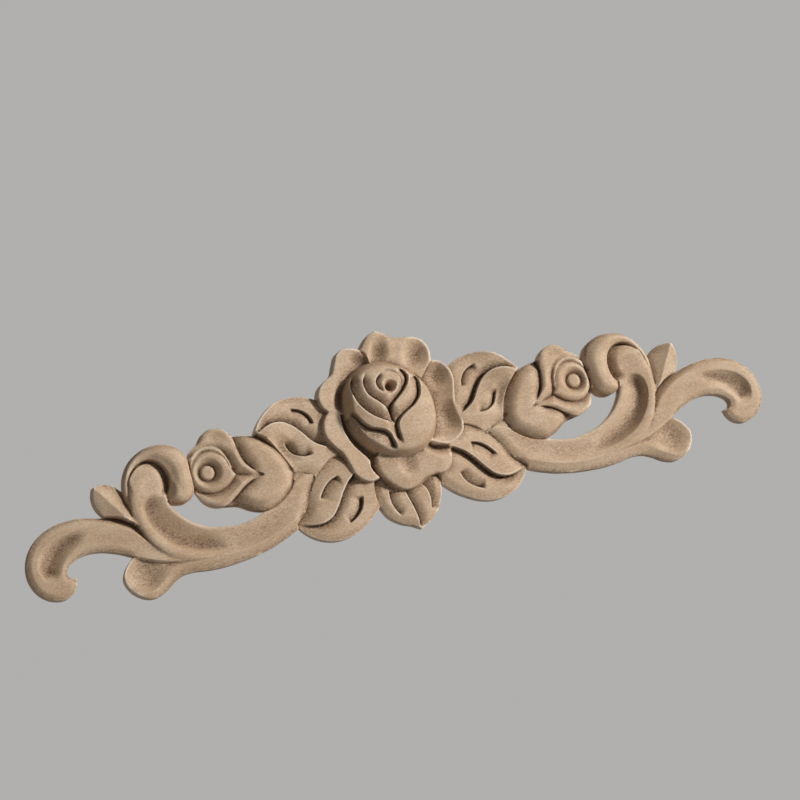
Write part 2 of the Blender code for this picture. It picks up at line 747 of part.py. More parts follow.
def dome():
    """The closed heart of the rose: its petals overlap in steps that run down to one point."""
    outline = loop(
        (27.8, 26), (26.0, 34.4), (20.2, 42.4), (11.4, 49.6), (1, 54.6), (-10, 55.2), (-18.8, 51.6),
        (-25.6, 44.4), (-29.7, 34.4), (-30.3, 25), (-28.2, 14.6), (-23.0, 5.8), (-15.6, -0.8),
        (-6.8, -5.1), (3, -6.3), (12.6, -4.4), (19.8, 0.8), (24.8, 7.6), (27.4, 16),
    )

    def surface(x, y, depth):
        edge = np.clip(1 - depth / 24, 0, 1)
        face = DOME_SHOULDER + (DOME_TOP - DOME_SHOULDER) * (1 - edge**2.2)
        side = np.sin(0.5 * math.pi * np.clip(depth / DOME_ROUND, 0, 1))
        base = DOME_BASE + between(y, (-6, 1.6), (6, 0), (34, 0), (46, 2.4))
        return base + (face - base) * side

    cuts = [
        Cut(
            curve(
                (-11.6, 50), (-14.2, 46.8), (-15.5, 43.2), (-15.7, 40), (-15, 36.8), (-13.3, 33.9),
                (-10.2, 30.7), (-7.3, 27.2), (-5.3, 24.1), (-4.2, 21), (-3.8, 17.6), (-3.4, 14.6),
            ),
            3.6, 5.5, 0.8, (0.2, 0.1),
        ),
        Cut(
            curve(
                (-18.4, 50.4), (-21.6, 46.6), (-23.2, 42.2), (-23.4, 37.7), (-22.4, 33.1), (-20.2, 28.5),
                (-16.9, 24.2), (-12.5, 20.4), (-8.7, 18), (-4.8, 15.6),
            ),
            4.0, 7, 0.8, (0.14, 0.1),
        ),
        Cut(
            curve(
                (9.6, 48.4), (11.4, 46.2), (12.6, 43.6), (12.8, 41), (12.1, 39.2), (10.9, 37.4),
                (9.3, 35.5), (6.6, 33), (3.2, 30.5), (-0.3, 28), (-2.6, 25.9), (-3.5, 23.8), (-3.9, 20.3),
                (-3.6, 17.2), (-3.1, 14.4),
            ),
            4.0, 0.9, 5.5, (0.08, 0.08),
        ),
        Cut(
            curve(
                (18.8, 42.2), (19.4, 38), (19, 34.9), (18.1, 31.5), (16.5, 28), (14, 25.3), (11, 23),
                (7.1, 21.1), (3.3, 19.1), (-0.2, 16.8), (-2.1, 14.5), (-2.9, 11.8), (-3.0, 8), (-2.5, 4),
                (-2.3, -0.4),
            ),
            4.0, 0.9, 7, (0.05, 0.14),
        ),
        Cut(
            curve(
                (-28.4, 28), (-26.6, 25.4), (-24.8, 22), (-22.9, 18.7), (-19.5, 15.1), (-15.4, 13.2),
                (-11.6, 11.3), (-8.9, 8.8), (-7.8, 5.7), (-7.1, 2.0), (-6.8, -2.0),
            ),
            4.4, 0.9, 11, (0.06, 0.1),
        ),
        Cut(
            curve(
                (-2.2, 46.8), (-5.3, 45.2), (-7.2, 43.3), (-8, 41), (-7.7, 38.6), (-6.6, 36.6),
                (-4.8, 34.6),
            ),
            3.2, 3.6, 0.7, (0.25, 0.25),
        ),
        Cut(
            curve((-2.6, 47.4), (1.5, 48), (5, 46.4), (7.8, 43.4), (8.7, 40), (8, 36.8), (5.8, 34.2)),
            0.9, 1.6, 0.8, (0.2, 0.2),
        ),
    ]
    return Layer(outline, surface, cuts + rounds(outline, DOME_ROUND), DOME_WALL)


def eye():
    """The bored hole in the heart of the rose, with a sloping side."""
    def surface(x, y, depth):
        return DOME_TOP - 1.0 - 6.5 * ease(depth / 3.4)

    return Layer(ellipse((-0.1, 37.6), 4.5, 4.5), surface, (), 0.3)


def layers():
    """Every element in painting order, with its side: 1 as drawn, -1 mirrored."""
    paired = (
        scroll_ground, stem, sprout, lobe, tail, arm, roll, upper_leaf, bud_body, bud_petal, bud_crescent,
        bud_ring, bud_button, lower_leaf,
    )
    single = (
        bottom_leaf, rose_ground, top_petal, upper_left_petal, bottom_petal, lower_left_petal,
        right_petal, dome, eye,
    )
    found = []
    for draw in paired:
        found.append((draw(), 1))
        found.append((draw(), -1))
    for draw in single:
        found.append((draw(), 1))
    return found


def carve(painted, x, y):
    """Height at each place, the number of the layer on top there, and whether it is solid."""
    height = np.full(x.shape, NOTHING)
    top = np.full(x.shape, -1)
    for number, (layer, sign) in enumerate(painted):
        low = layer.outline.min(axis=0) - layer.wall
        high = layer.outline.max(axis=0) + layer.wall
        near = (x * sign > low[0]) & (x * sign < high[0]) & (y > low[1]) & (y < high[1])
        if not near.any():
            continue
        own, depth = layer.height(x[near] * sign, y[near])
        below = height[near]
        ramp = np.clip(-depth / layer.wall, 0, 1)
        within = depth >= np.where(below > NOTHING, ON_OUTLINE, -MEETING)
        on_wall = ~within & (ramp < 1) & (below > NOTHING)
        own = np.where(on_wall, own + (below - own) * ramp, own)
        height[near] = np.where(within | on_wall, own, below)
        top[near] = np.where(within, number, top[near])
    return height, top, top >= 0


# The mesh


def stretches(line, kept):
    """The parts of a line whose points are kept, each as an array."""
    breaks = np.flatnonzero(np.diff(np.concatenate([[0], kept.astype(int), [0]])))
    parts = [line[start:stop] for start, stop in zip(breaks[::2], breaks[1::2])]
    return [part for part in parts if len(part) > 1]


def uncovered(line, painted, number, sign):
    """The parts of a line that no later layer covers, each with one more point at an end that is covered."""
    placed = line * (sign, 1)
    shown = np.ones(len(line), bool)
    for later, later_sign in painted[number + 1:]:
        shown &= ~inside(later.outline, placed[:, 0] * later_sign, placed[:, 1])
    widened = shown.copy()
    widened[1:] |= shown[:-1]
    widened[:-1] |= shown[1:]
    return stretches(placed, widened)


def feature_lines(painted):
    """Lines that the mesh follows: outlines, the feet of their walls, cuts and ridges."""
    lines = []
    for number, (layer, sign) in enumerate(painted):
        lines += uncovered(np.vstack([layer.outline, layer.outline[:1]]), painted, number, sign)
        outwards = -math.copysign(layer.wall * FOOT_CLEARANCE, area(layer.outline))
        foot = offset(layer.outline, outwards, closed=True)
        distance, _, _ = measure(layer.outline, foot[:, 0], foot[:, 1], closed=True)
        rows = stretches(np.vstack([foot, foot[:1]]), np.append(distance, distance[0]) > layer.wall)
        for cut in layer.cuts:
            for row in cut.rows():
                rows += stretches(row, inside(layer.outline, row[:, 0], row[:, 1]))
        for row in rows:
            lines += uncovered(row, painted, number, sign)
    return lines


def filling(painted, lines):
    """Points of a staggered grid that lie on the carving and stand clear of its lines."""
    corners = [(layer.outline * (sign, 1)) for layer, sign in painted]
    low = np.vstack(corners).min(axis=0)
    high = np.vstack(corners).max(axis=0)
    rise = FILL * math.sqrt(3) / 2
    found = []
    for row, y in enumerate(np.arange(low[1], high[1], rise)):
        shift = FILL / 2 * (row % 2)
        x = np.arange(low[0] + shift, high[0], FILL)
        found.append(np.column_stack([x, np.full(x.shape, y)]))
    grid = np.vstack(found)
    solid = np.zeros(len(grid), bool)
    for layer, sign in painted:
        solid |= inside(layer.outline, grid[:, 0] * sign, grid[:, 1])
    grid = grid[solid]
    tree = KDTree(sum(len(line) for line in lines))
    count = 0
    for line in lines:
        for point in line:
            tree.insert((*point, 0), count)
            count += 1
    tree.balance()
    return np.array([point for point in grid if tree.find((*point, 0))[2] > FILL * FILL_CLEARANCE])


def triangulate(lines, loose):
    """A flat triangle mesh that follows the lines, with points that nearly meet drawn together."""
    points = []
    edges = []
    cells = {}

    def place(point):
        cell = (math.floor(point[0] / MEETING), math.floor(point[1] / MEETING))
        for step_x in (-1, 0, 1):
            for step_y in (-1, 0, 1):
                for other in cells.get((cell[0] + step_x, cell[1] + step_y), ()):
                    if math.dist(points[other], point) < MEETING:
                        return other
        cells.setdefault(cell, []).append(len(points))
        points.append(tuple(point))
        return len(points) - 1

    for line in lines:
        placed = [place(point) for point in line]
        edges += [(start, end) for start, end in zip(placed, placed[1:]) if start != end]
    points += [tuple(point) for point in loose]
    flat, _, triangles, _, _, _ = delaunay_2d_cdt([Vector(point) for point in points], edges, [], 0, 1e-5)
    return np.array([tuple(point) for point in flat]), np.array(triangles)


def edge_of(triangles):
    """The edges that only one triangle has, each in that triangle's direction."""
    directed = np.vstack([triangles[:, [0, 1]], triangles[:, [1, 2]], triangles[:, [2, 0]]])
    known = {tuple(pair) for pair in directed.tolist()}
    return sorted(pair for pair in known if pair[::-1] not in known)


def on_carving(painted, flat, triangles):
    """The triangles whose middles lie on the carving."""
    middle = flat[triangles].mean(axis=1)
    solid = np.zeros(len(middle), bool)
    for layer, sign in painted:
        solid |= inside(layer.outline, middle[:, 0] * sign, middle[:, 1])
    return triangles[solid]


def solid_mesh():
    """Points and triangles of the whole closed carving, in millimetres: x, y and height from the back."""
    painted = layers()
    lines = feature_lines(painted)
    flat, triangles = triangulate(lines, filling(painted, lines))
    front = on_carving(painted, flat, triangles)
    used, front = np.unique(front, return_inverse=True)
    front = front.reshape(-1, 3)
    flat = flat[used]
    height, _, _ = carve(painted, flat[:, 0], flat[:, 1])
    rim = edge_of(front)
    rim_points = sorted({end for pair in rim for end in pair})
    below = {point: len(flat) + number for number, point in enumerate(rim_points)}
    walls = []
    for start, end in rim:
        walls.append((start, below[start], below[end]))
        walls.append((start, below[end], end))
    renumber = {point: number for number, point in enumerate(rim_points)}
    rim_edges = [(renumber[start], renumber[end]) for start, end in rim]
    corners = [Vector(flat[point]) for point in rim_points]
    back_flat, _, back, _, _, _ = delaunay_2d_cdt(corners, rim_edges, [], 0, 1e-5)
    back = on_carving(painted, np.array([tuple(point) for point in back_flat]), np.array(back))
    back = back[:, ::-1] + len(flat)
    points = np.vstack([
        np.column_stack([flat, height]),
        np.column_stack([flat[rim_points], np.zeros(len(rim_points))]),
    ])
    return points, np.vstack([front, np.array(walls), back])


# The piece


def clear_scene():
    for old in list(bpy.data.objects):
        bpy.data.objects.remove(old)


def wood():
    material = bpy.data.materials.new("pale_wood")
    material.use_nodes = True
    shader = material.node_tree.nodes["Principled BSDF"]
    shader.inputs["Base Color"].default_value = WOOD
    shader.inputs["Roughness"].default_value = ROUGHNESS
    shader.inputs["Metallic"].default_value = 0.0
    return material


def applique():
    """The drawing stood upright: x along world X, y up world Z, and height towards the viewer, world -Y."""
    points, triangles = solid_mesh()
    placed = np.column_stack([points[:, 0], -points[:, 2], points[:, 1]]) * MM
    mesh = bpy.data.meshes.new(NODE)
    mesh.from_pydata(placed.tolist(), [], triangles.tolist())
    mesh.materials.append(wood())
    mesh.shade_smooth()
    mesh.set_sharp_from_angle(angle=SHARP_ANGLE)
    piece = bpy.data.objects.new(NODE, mesh)
    bpy.context.scene.collection.objects.link(piece)
    return piece


clear_scene()
applique()
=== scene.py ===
# The looks of the carved applique: the whole carving again at a fine spacing, with eased edges, finishing
# marks, painted shade in its cuts and low places, painted highlights on its edges, and pale wood, which
# stands for the plain solid. It is drawn as painted layers in millimetres, as the solid is: x along the
# carving from the middle of the rose, y up it, and height out from the flat back.

import math
from dataclasses import dataclass

import bpy
import numpy as np
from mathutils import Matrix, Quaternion, Vector
from mathutils.geometry import delaunay_2d_cdt
from mathutils.kdtree import KDTree


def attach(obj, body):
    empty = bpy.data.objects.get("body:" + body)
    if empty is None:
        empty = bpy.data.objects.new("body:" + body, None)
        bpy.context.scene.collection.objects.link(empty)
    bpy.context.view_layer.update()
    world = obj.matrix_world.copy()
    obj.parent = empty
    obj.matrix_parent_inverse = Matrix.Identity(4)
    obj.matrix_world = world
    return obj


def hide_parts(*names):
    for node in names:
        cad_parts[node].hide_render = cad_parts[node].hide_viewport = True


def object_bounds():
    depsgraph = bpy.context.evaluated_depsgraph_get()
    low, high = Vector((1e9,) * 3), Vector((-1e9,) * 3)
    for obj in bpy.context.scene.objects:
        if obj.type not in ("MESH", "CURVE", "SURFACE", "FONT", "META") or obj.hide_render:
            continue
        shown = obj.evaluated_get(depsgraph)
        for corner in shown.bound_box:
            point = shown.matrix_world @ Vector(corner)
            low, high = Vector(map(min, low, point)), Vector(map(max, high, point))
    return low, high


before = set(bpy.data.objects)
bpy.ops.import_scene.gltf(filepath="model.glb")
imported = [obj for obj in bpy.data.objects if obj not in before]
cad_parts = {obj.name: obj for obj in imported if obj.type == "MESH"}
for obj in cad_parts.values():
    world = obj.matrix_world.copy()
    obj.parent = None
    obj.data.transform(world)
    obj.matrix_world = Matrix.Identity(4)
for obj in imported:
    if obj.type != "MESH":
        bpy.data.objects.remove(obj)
cad_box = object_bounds()

NODE = "carved_applique"
PIECE = "wood_carving"
MM = 0.001

# Driving dimensions, in millimetres.
PANEL_WALL = 0.7
DOME_WALL = 0.8
DOME_ROUND = 4.6
DOME_TOP = 22.0
DOME_SHOULDER = 17.4
DOME_BASE = 10.6
PETAL_RIM = 10.8
LEAF_HEIGHT = 7.0
LEAF_TIP_HEIGHT = 10.8
BUD_CROWN = 11.4
BUD_EDGE = 5.4
BUD_ROUND = 8.0
BUD_RING_HEIGHT = 10.6
BUTTON_HEIGHT = 7.6
ARM_RIM = 7.8
TONGUE_HEIGHT = 10.6
ROLL_CREST = 12.4
ROLL_EDGE = 7.8
TAIL_HEIGHT = 7.6
SPROUT_RIDGE = 9.6
GROUND_HEIGHT = 4.0
DEEP_CUT = 4.0
VEIN_CUT = 3.0
STEEP_WIDTH = 1.5

# Edges are eased, as sanding leaves them: how wide and by how much, and the same for the lips of cuts, where
# the share is of the cut's depth.
EASED_WIDTH = 0.6
EASED_DROP = 0.25
LIP_WIDTH = 0.5
LIP_SHARE = 0.14

# How closely the mesh follows the carving, in millimetres: along its lines and on open surfaces, how far
# open points stay from a line as a part of FILL, and how near two points count as one.
SPACING = 0.8
FILL = 0.85
FILL_CLEARANCE = 0.55
MEETING = 0.3

# Steps to a span of a curve, and where rows of points run beside an edge: as parts of a rounding's width, in
# millimetres in a hollow, and as a part of a wall's width.
STEPS = 16
ROUND_ROWS = (0.18, 0.34, 0.52, 0.75, 1.0)
HOLLOW_ROWS = (0.7, 1.5)
FOOT_CLEARANCE = 1.03

# A height below 0 stands for no carving, and a point this near to an outline counts as on it.
NOTHING = -1.0
ON_OUTLINE = -0.002

# Small numbers that settle ties, keep a division from zero, and join points of the flat mesh.
TIE = 1e-12
TINY = 1e-6
TOUCHING = 1e-5

# The photo's view, in metres and degrees, with the lens in millimetres.
CAMERA_PLACE = (-0.6023, -1.7619, -0.2152)
CAMERA_AIM = (0.0087, -0.0055, 0.0296)
CAMERA_ROLL = -16.6
CAMERA_LENS = 135


# Curves and distances


def smooth(points):
    """Close points on a smooth curve through the given ones, STEPS to each span."""
    given = np.array(points, float)
    padded = np.vstack([2 * given[0] - given[1], given, 2 * given[-1] - given[-2]])
    steps = np.linspace(0, 1, STEPS + 1)[:-1, None]
    pieces = []
    for before, start, end, after in zip(padded[:-3], padded[1:-2], padded[2:-1], padded[3:]):
        gap_before = math.sqrt(math.dist(before, start))
        gap = math.sqrt(math.dist(start, end))
        gap_after = math.sqrt(math.dist(end, after))
        leave = (end - start) / gap - (end - before) / (gap_before + gap) + (start - before) / gap_before
        arrive = (after - end) / gap_after - (after - start) / (gap + gap_after) + (end - start) / gap
        pieces.append(
            (2 * steps**3 - 3 * steps**2 + 1) * start
            + (steps**3 - 2 * steps**2 + steps) * leave * gap
            + (3 * steps**2 - 2 * steps**3) * end
            + (steps**3 - steps**2) * arrive * gap
        )
    pieces.append(given[-1:])
    return np.vstack(pieces)


def spaced(dense):
    """The same line with points SPACING apart."""
    run = np.concatenate([[0], np.cumsum(np.hypot(*np.diff(dense, axis=0).T))])
    places = np.linspace(0, run[-1], max(round(run[-1] / SPACING), 2) + 1)
    return np.column_stack([np.interp(places, run, dense[:, 0]), np.interp(places, run, dense[:, 1])])


def curve(*points):
    return spaced(smooth(points))


def joined(*curves):
    """One closed outline from curves that follow each other, with a corner where two of them meet."""
    return np.vstack([part[:-1] for part in curves])


def cornered(*parts):
    """A closed outline of smooth parts, each starting at the last point of the part before it."""
    starts = [part[-1] for part in parts]
    return joined(*(curve(start, *part) for start, part in zip(starts[-1:] + starts, parts)))


def loop(*points):
    """A closed smooth outline through the given points."""
    around = smooth(points[-2:] + points + points[:3])
    return spaced(around[2 * STEPS:(2 + len(points)) * STEPS + 1])[:-1]


def ellipse(centre, half_width, half_height):
    girth = 2 * math.pi * max(half_width, half_height)
    angles = np.linspace(0, 2 * math.pi, max(round(girth / SPACING), 12), endpoint=False)
    around = np.column_stack([half_width * np.cos(angles), half_height * np.sin(angles)])
    return around + centre


def measure(path, x, y, closed=False):
    """Distance to a path, which side of it (above 0 on its left), and how far along it, from 0 to 1."""
    starts = path if closed else path[:-1]
    ends = np.roll(path, -1, axis=0) if closed else path[1:]
    lengths = np.hypot(*(ends - starts).T)
    along_to = np.concatenate([[0], np.cumsum(lengths)])
    across = np.column_stack([starts[:, 1] - ends[:, 1], ends[:, 0] - starts[:, 0]]) / lengths[:, None]
    if closed:
        corner = across + np.roll(across, 1, axis=0)
        corner = np.vstack([corner, corner[:1]])
    else:
        corner = np.vstack([across[:1], across[:-1] + across[1:], across[-1:]])
    nearest = np.full(x.shape, np.inf)
    side = np.zeros(x.shape)
    along = np.zeros(x.shape)
    for k, length in enumerate(lengths):
        way_x, way_y = (ends[k] - starts[k]) / length
        from_x = x - starts[k, 0]
        from_y = y - starts[k, 1]
        reach = from_x * way_x + from_y * way_y
        held = np.clip(reach, 0, length)
        off_x = from_x - held * way_x
        off_y = from_y - held * way_y
        squared = off_x * off_x + off_y * off_y
        nearer = squared < nearest - TIE
        normal = np.where(
            (reach < 0)[..., None], corner[k],
            np.where((reach > length)[..., None], corner[k + 1], across[k]),
        )
        nearest = np.where(nearer, squared, nearest)
        side = np.where(nearer, off_x * normal[..., 0] + off_y * normal[..., 1], side)
        along = np.where(nearer, (along_to[k] + held) / along_to[-1], along)
    return np.sqrt(nearest), side, along


def inside(outline, x, y):
    found = np.zeros(x.shape, bool)
    for (start_x, start_y), (end_x, end_y) in zip(outline, np.roll(outline, -1, axis=0)):
        if start_y == end_y:
            continue
        crosses = (start_y > y) != (end_y > y)
        found ^= crosses & (x < (end_x - start_x) * (y - start_y) / (end_y - start_y) + start_x)
    return found


def boxed(line, margin, x, y):
    """Whether each place lies in the box round a line, widened by a margin."""
    low = line.min(axis=0) - margin
    high = line.max(axis=0) + margin
    return (x > low[0]) & (x < high[0]) & (y > low[1]) & (y < high[1])


def ease(value):
    """0 below 0, 1 above 1, and a smooth rise between them."""
    held = np.clip(value, 0, 1)
    return held * held * (3 - 2 * held)


def between(value, *pairs):
    """The value read from a line through pairs of place and height."""
    table = np.array(pairs, float)
    return np.interp(value, table[:, 0], table[:, 1])


def swell(x, y, centre, half_length, half_width, turn, height):
    """A soft oval bump, or a dish where the height is negative."""
    angle = math.radians(turn)
    along = (x - centre[0]) * math.cos(angle) + (y - centre[1]) * math.sin(angle)
    across = (y - centre[1]) * math.cos(angle) - (x - centre[0]) * math.sin(angle)
    left = np.clip(1 - (along / half_length) ** 2 - (across / half_width) ** 2, 0, 1)
    return height * left * left


def scooped(distance, width):
    """How far a gouged surface has fallen, from 0 at a crisp edge to 1 where its floor is level."""
    return 1 - (1 - np.clip(distance / width, 0, 1)) ** 2


# The carver's cuts


@dataclass
class Cut:
    """A carved line. left and right say over what width the surface falls to it on each side."""

    path: np.ndarray
    depth: float
    left: float
    right: float
    fade: tuple
    power: float = 1.5

    def rows(self):
        """Lines that the mesh follows: the cut and both sides of the eased lip above its steep side."""
        lip = self.left if self.left < self.right else -self.right
        eased = lip + math.copysign(LIP_WIDTH, lip)
        return [self.path, offset(self.path, lip), offset(self.path, eased)]

    def fall(self, distance, side):
        width = np.where(side > 0, self.left, self.right)
        wall = np.clip(1 - distance / width, 0, 1)
        lip = np.clip(1 - distance / (width + LIP_WIDTH), 0, 1)
        return np.where(width < STEEP_WIDTH, wall + LIP_SHARE * (lip - wall), wall**self.power)

    def strength(self, along):
        """How much of its depth the cut has, running out at an end that fades."""
        found = np.ones(along.shape)
        if self.fade[0]:
            found = found * ease(along / self.fade[0])
        if self.fade[1]:
            found = found * ease((1 - along) / self.fade[1])
        return found

    def drop(self, x, y):
        near = boxed(self.path, max(self.left, self.right), x, y)
        dropped = np.zeros(x.shape)
        if not near.any():
            return dropped
        distance, side, along = measure(self.path, x[near], y[near])
        dropped[near] = self.depth * self.strength(along) * self.fall(distance, side)
        return dropped


@dataclass
class Hollow:
    """A hollow, steep under a crisp edge, level at its floor and rising softly to the bank opposite."""

    edge: np.ndarray
    bank: np.ndarray
    depth: float
    floor: float
    rise: float

    def rows(self):
        inwards = math.copysign(1, area(joined(self.edge, self.bank)))
        return [self.edge] + [offset(self.edge, inwards * step) for step in HOLLOW_ROWS]

    def drop(self, x, y):
        to_edge = measure(self.edge, x, y)[0]
        to_bank = measure(self.bank, x, y)[0]
        shape = scooped(to_edge, self.floor) * ease(to_bank / self.rise)
        return np.where(inside(joined(self.edge, self.bank), x, y), self.depth * shape, 0)


@dataclass
class Ridge:
    """A line where two slopes meet. It cuts nothing and gives the mesh an edge to follow."""

    path: np.ndarray

    def rows(self):
        return [self.path]

    def drop(self, x, y):
        return 0.0


def offset(path, distance, closed=False):
    """The path moved sideways, to its left where the distance is above 0."""
    if closed:
        way = np.roll(path, -1, axis=0) - np.roll(path, 1, axis=0)
    else:
        way = np.gradient(path, axis=0)
    way = way / np.hypot(*way.T)[:, None]
    return path + distance * np.column_stack([-way[:, 1], way[:, 0]])


def area(outline):
    ahead = np.roll(outline, -1, axis=0)
    return 0.5 * np.sum(outline[:, 0] * ahead[:, 1] - ahead[:, 0] * outline[:, 1])


@dataclass
class Layer:
    """One element of the carving, painted over those before it: its outline, its surface and its cuts."""

    outline: np.ndarray
    surface: object
    cuts: list | tuple = ()
    wall: float = PANEL_WALL

    def height(self, x, y):
        """Height, and distance inside the outline, below 0 outside it."""
        distance = measure(self.outline, x, y, closed=True)[0]
        within = inside(self.outline, x, y)
        height = self.surface(x, y, np.where(within, distance, 0.0))
        for cut in self.cuts:
            height = height - cut.drop(x, y)
        height = height - EASED_DROP * np.clip(1 - distance / EASED_WIDTH, 0, 1) ** 2
        return height, np.where(within, distance, -distance)


# Ground: what shows at the bottom of the deepest gaps


def ground(outline):
    return Layer(outline, lambda x, y, depth: GROUND_HEIGHT + 0 * x)


def scroll_ground():
    return ground(loop(
        (150, 6), (143, 17), (149, 31), (160, 34), (171, 28), (179, 13), (180, 2), (176, -8), (164, 4),
    ))


def rose_ground():
    return ground(ellipse((-1, 22), 33, 36))


# The scroll at each end


def sprout():
    outline = cornered(
        [(197, 10), (197.6, 17), (195.8, 22.6)],
        [(189, 23.5), (183, 21.4), (177.5, 15.8)],
        [(171, 4), (174, -14)],
        [(184, -7), (193, 3)],
    )
    ridge = curve((195.8, 22.6), (186, 8), (177, -6), (172, -14))

    def surface(x, y, depth):
        away, side, _ = measure(ridge, x, y)
        return SPROUT_RIDGE - np.where(side > 0, 0.36, 0.62) * away

    return Layer(outline, surface, [Ridge(ridge)])


def lobe():
    crest = curve(
        (100, -36.2), (125, -37.4), (142, -37.2), (153, -36.6), (161, -38.3), (169, -43.2), (177, -47.6),
        (186, -47.0),
    )
    outline = cornered(
        [
            (110, -42.2), (120, -43.2), (130, -43.6), (140, -43), (149, -41.8), (156, -42.4), (162, -45),
            (169, -49.4), (176, -51.4), (183, -49.6), (189.5, -43.6), (191.8, -36), (188.6, -29.3),
            (182.4, -23.7),
        ],
        [(165, -22), (145, -28), (110, -34), (100, -36)],
        [(100, -40.3)],
    )

    def surface(x, y, depth):
        away, side, _ = measure(crest, x, y)
        rim = between(x, (100, ARM_RIM), (130, ARM_RIM - 0.2), (165, 6.4), (185, 7.6))
        bevel = between(x, (110, 0.55), (150, 0.42), (165, 0.50), (180, 0.45))
        dish = swell(x, y, (178.5, -35.5), 14, 12.5, 20, -3.6)
        side_slope = -1.2 * ease(away / 6) * ease((x - 135) / 25)
        return rim + np.where(side > 0, dish + side_slope, -bevel * np.minimum(away, 7))

    return Layer(outline, surface, [Ridge(crest)])


def tail():
    upper = curve(
        (150, -26), (162, -20), (170, -13.5), (177, -5), (185, 0.6), (193, 3.4), (203, 5.9), (214, 7.1),
        (225, 6.2), (235, 2.4), (242.6, -4.2), (247, -12.5), (248, -21), (245.2, -30), (238.6, -36.4),
        (230, -38.6), (224, -36.2), (220.6, -31.8), (219.4, -27.6),
    )
    lower = curve(
        (219.4, -27.6), (222.8, -26.8), (224.6, -24.2), (222.8, -20.4), (218, -17.2), (210, -15.2),
        (200, -16.2), (190, -19.8), (182.4, -23.7), (170, -29.4), (158, -33.2), (145, -35),
    )
    outline = joined(upper, lower, curve((145, -35), (146, -30), (150, -26)))
    crest = curve((166, -24), (172, -17.4), (180, -8.8), (190, -2.6), (200, 1.0), (210, 2.4))

    def surface(x, y, depth):
        to_upper = measure(upper, x, y)[0]
        to_lower = measure(lower, x, y)[0]
        away, side, along = measure(crest, x, y)
        bevel = (side > 0) * ease(along / 0.2) * ease((1 - along) / 0.3) * np.clip(away / 5, 0, 1)
        upper_round = 1.4 * (1 - ease(to_upper / 3.5)) * ease((x - 190) / 15)
        lower_round = 1.4 * (1 - ease(to_lower / 4)) * ease((x - 180) / 6)
        return TAIL_HEIGHT - 5.4 * bevel - upper_round - lower_round

    edge = curve(
        (203, -1.2), (214, -0.4), (225, -1.8), (233.6, -5.6), (239.4, -11.6), (241.3, -18), (239.6, -24),
        (235.4, -28),
    )
    bank = curve((235.4, -28), (230.4, -26.6), (226, -21), (220, -14), (211, -8.5), (203, -1.2))
    hollow = Hollow(edge, bank, 4.8, 8, 9)
    return Layer(outline, surface, [Ridge(crest), hollow])


def arm():
    """The C scroll: a cove above a bevelled rim, ending in the tongue inside the volute."""
    outer = curve(
        (66, -24), (72, -29), (81, -34), (90, -37.5), (100, -40.3), (108, -40.2), (118, -38.6),
        (133, -37.0), (147, -35), (158, -31.0), (165, -24.8), (170.8, -17), (174.2, -8.5), (176.6, 1),
        (177.2, 11),
    )
    head = curve(
        (177.2, 11), (175, 18.5), (170.2, 25), (164, 28.6), (157.5, 28.6), (152.6, 25), (150.6, 19),
        (151, 12.5), (153.4, 7.5),
    )
    inner = curve(
        (153.4, 7.5), (152.8, 2), (149.1, -4.6), (143, -11.2), (134.6, -16.4), (124.6, -19.5), (113, -20.8),
        (102, -19.2), (92, -15), (80, -8), (70, -2), (60, 0),
    )
    outline = joined(outer, head, inner, curve((60, 0), (58, -14), (66, -24)))
    crest = curve(
        (60, -20), (72, -23.5), (84, -28.8), (97, -33.4), (110, -36.2), (125, -36.8), (138, -35.6),
        (150, -32.0), (160, -26.2), (167, -18.6), (171.4, -10), (173.6, 0), (173.8, 10),
    )

    def surface(x, y, depth):
        away, side, _ = measure(crest, x, y)
        to_inner = measure(inner, x, y)[0]
        to_head = measure(head, x, y)[0]
        rim = between(x, (60, ARM_RIM), (135, ARM_RIM), (168, 9.6))
        across = away / (away + to_inner + TINY)
        bevel = between(x, (60, 0.55), (108, 0.55), (125, 0.3), (180, 0.3))
        sag = between(x, (60, 0.8), (100, 1.6), (140, 1.4), (170, 0.4))
        cove = sag * np.sin(math.pi * across) + 0.9 * across
        height = rim - np.where(side < 0, bevel * np.minimum(away, 7), cove)
        height = height - 0.8 * (1 - ease(to_inner / 1.8)) * (y < 4)
        on_tongue = ease((y - 2) / 10) * (x > 140)
        height = height + (TONGUE_HEIGHT - 9.2) * on_tongue
        roll_off = between(x, (150, 4.4), (157, 3.2), (166, 1.6), (172, 0.8)) * (1 - ease(to_head / 6.0))
        return height - roll_off * ease((y - 6) / 5)

    edge = curve(
        (118, -34), (132, -32.8), (145, -30), (156, -25), (164.4, -17), (169.4, -8), (170.8, 0), (169, 6),
        (164.4, 9.4), (158.5, 9.4), (154, 7.2),
    )
    bank = curve(
        (154, 7.2), (153.2, 1.8), (149.4, -5), (143, -11.6), (134.8, -17), (127, -23), (118, -34),
    )
    hollow = Hollow(edge, bank, 5.2, 7, 15)
    leaf_side = curve((57.5, -4), (63, -11), (67.5, -19), (71.2, -24.5), (77.8, -29.8))
    under_leaf = Cut(leaf_side, 2.8, 6.5, 0.6, (0, 0.2))
    return Layer(outline, surface, [Ridge(crest), hollow, under_leaf])


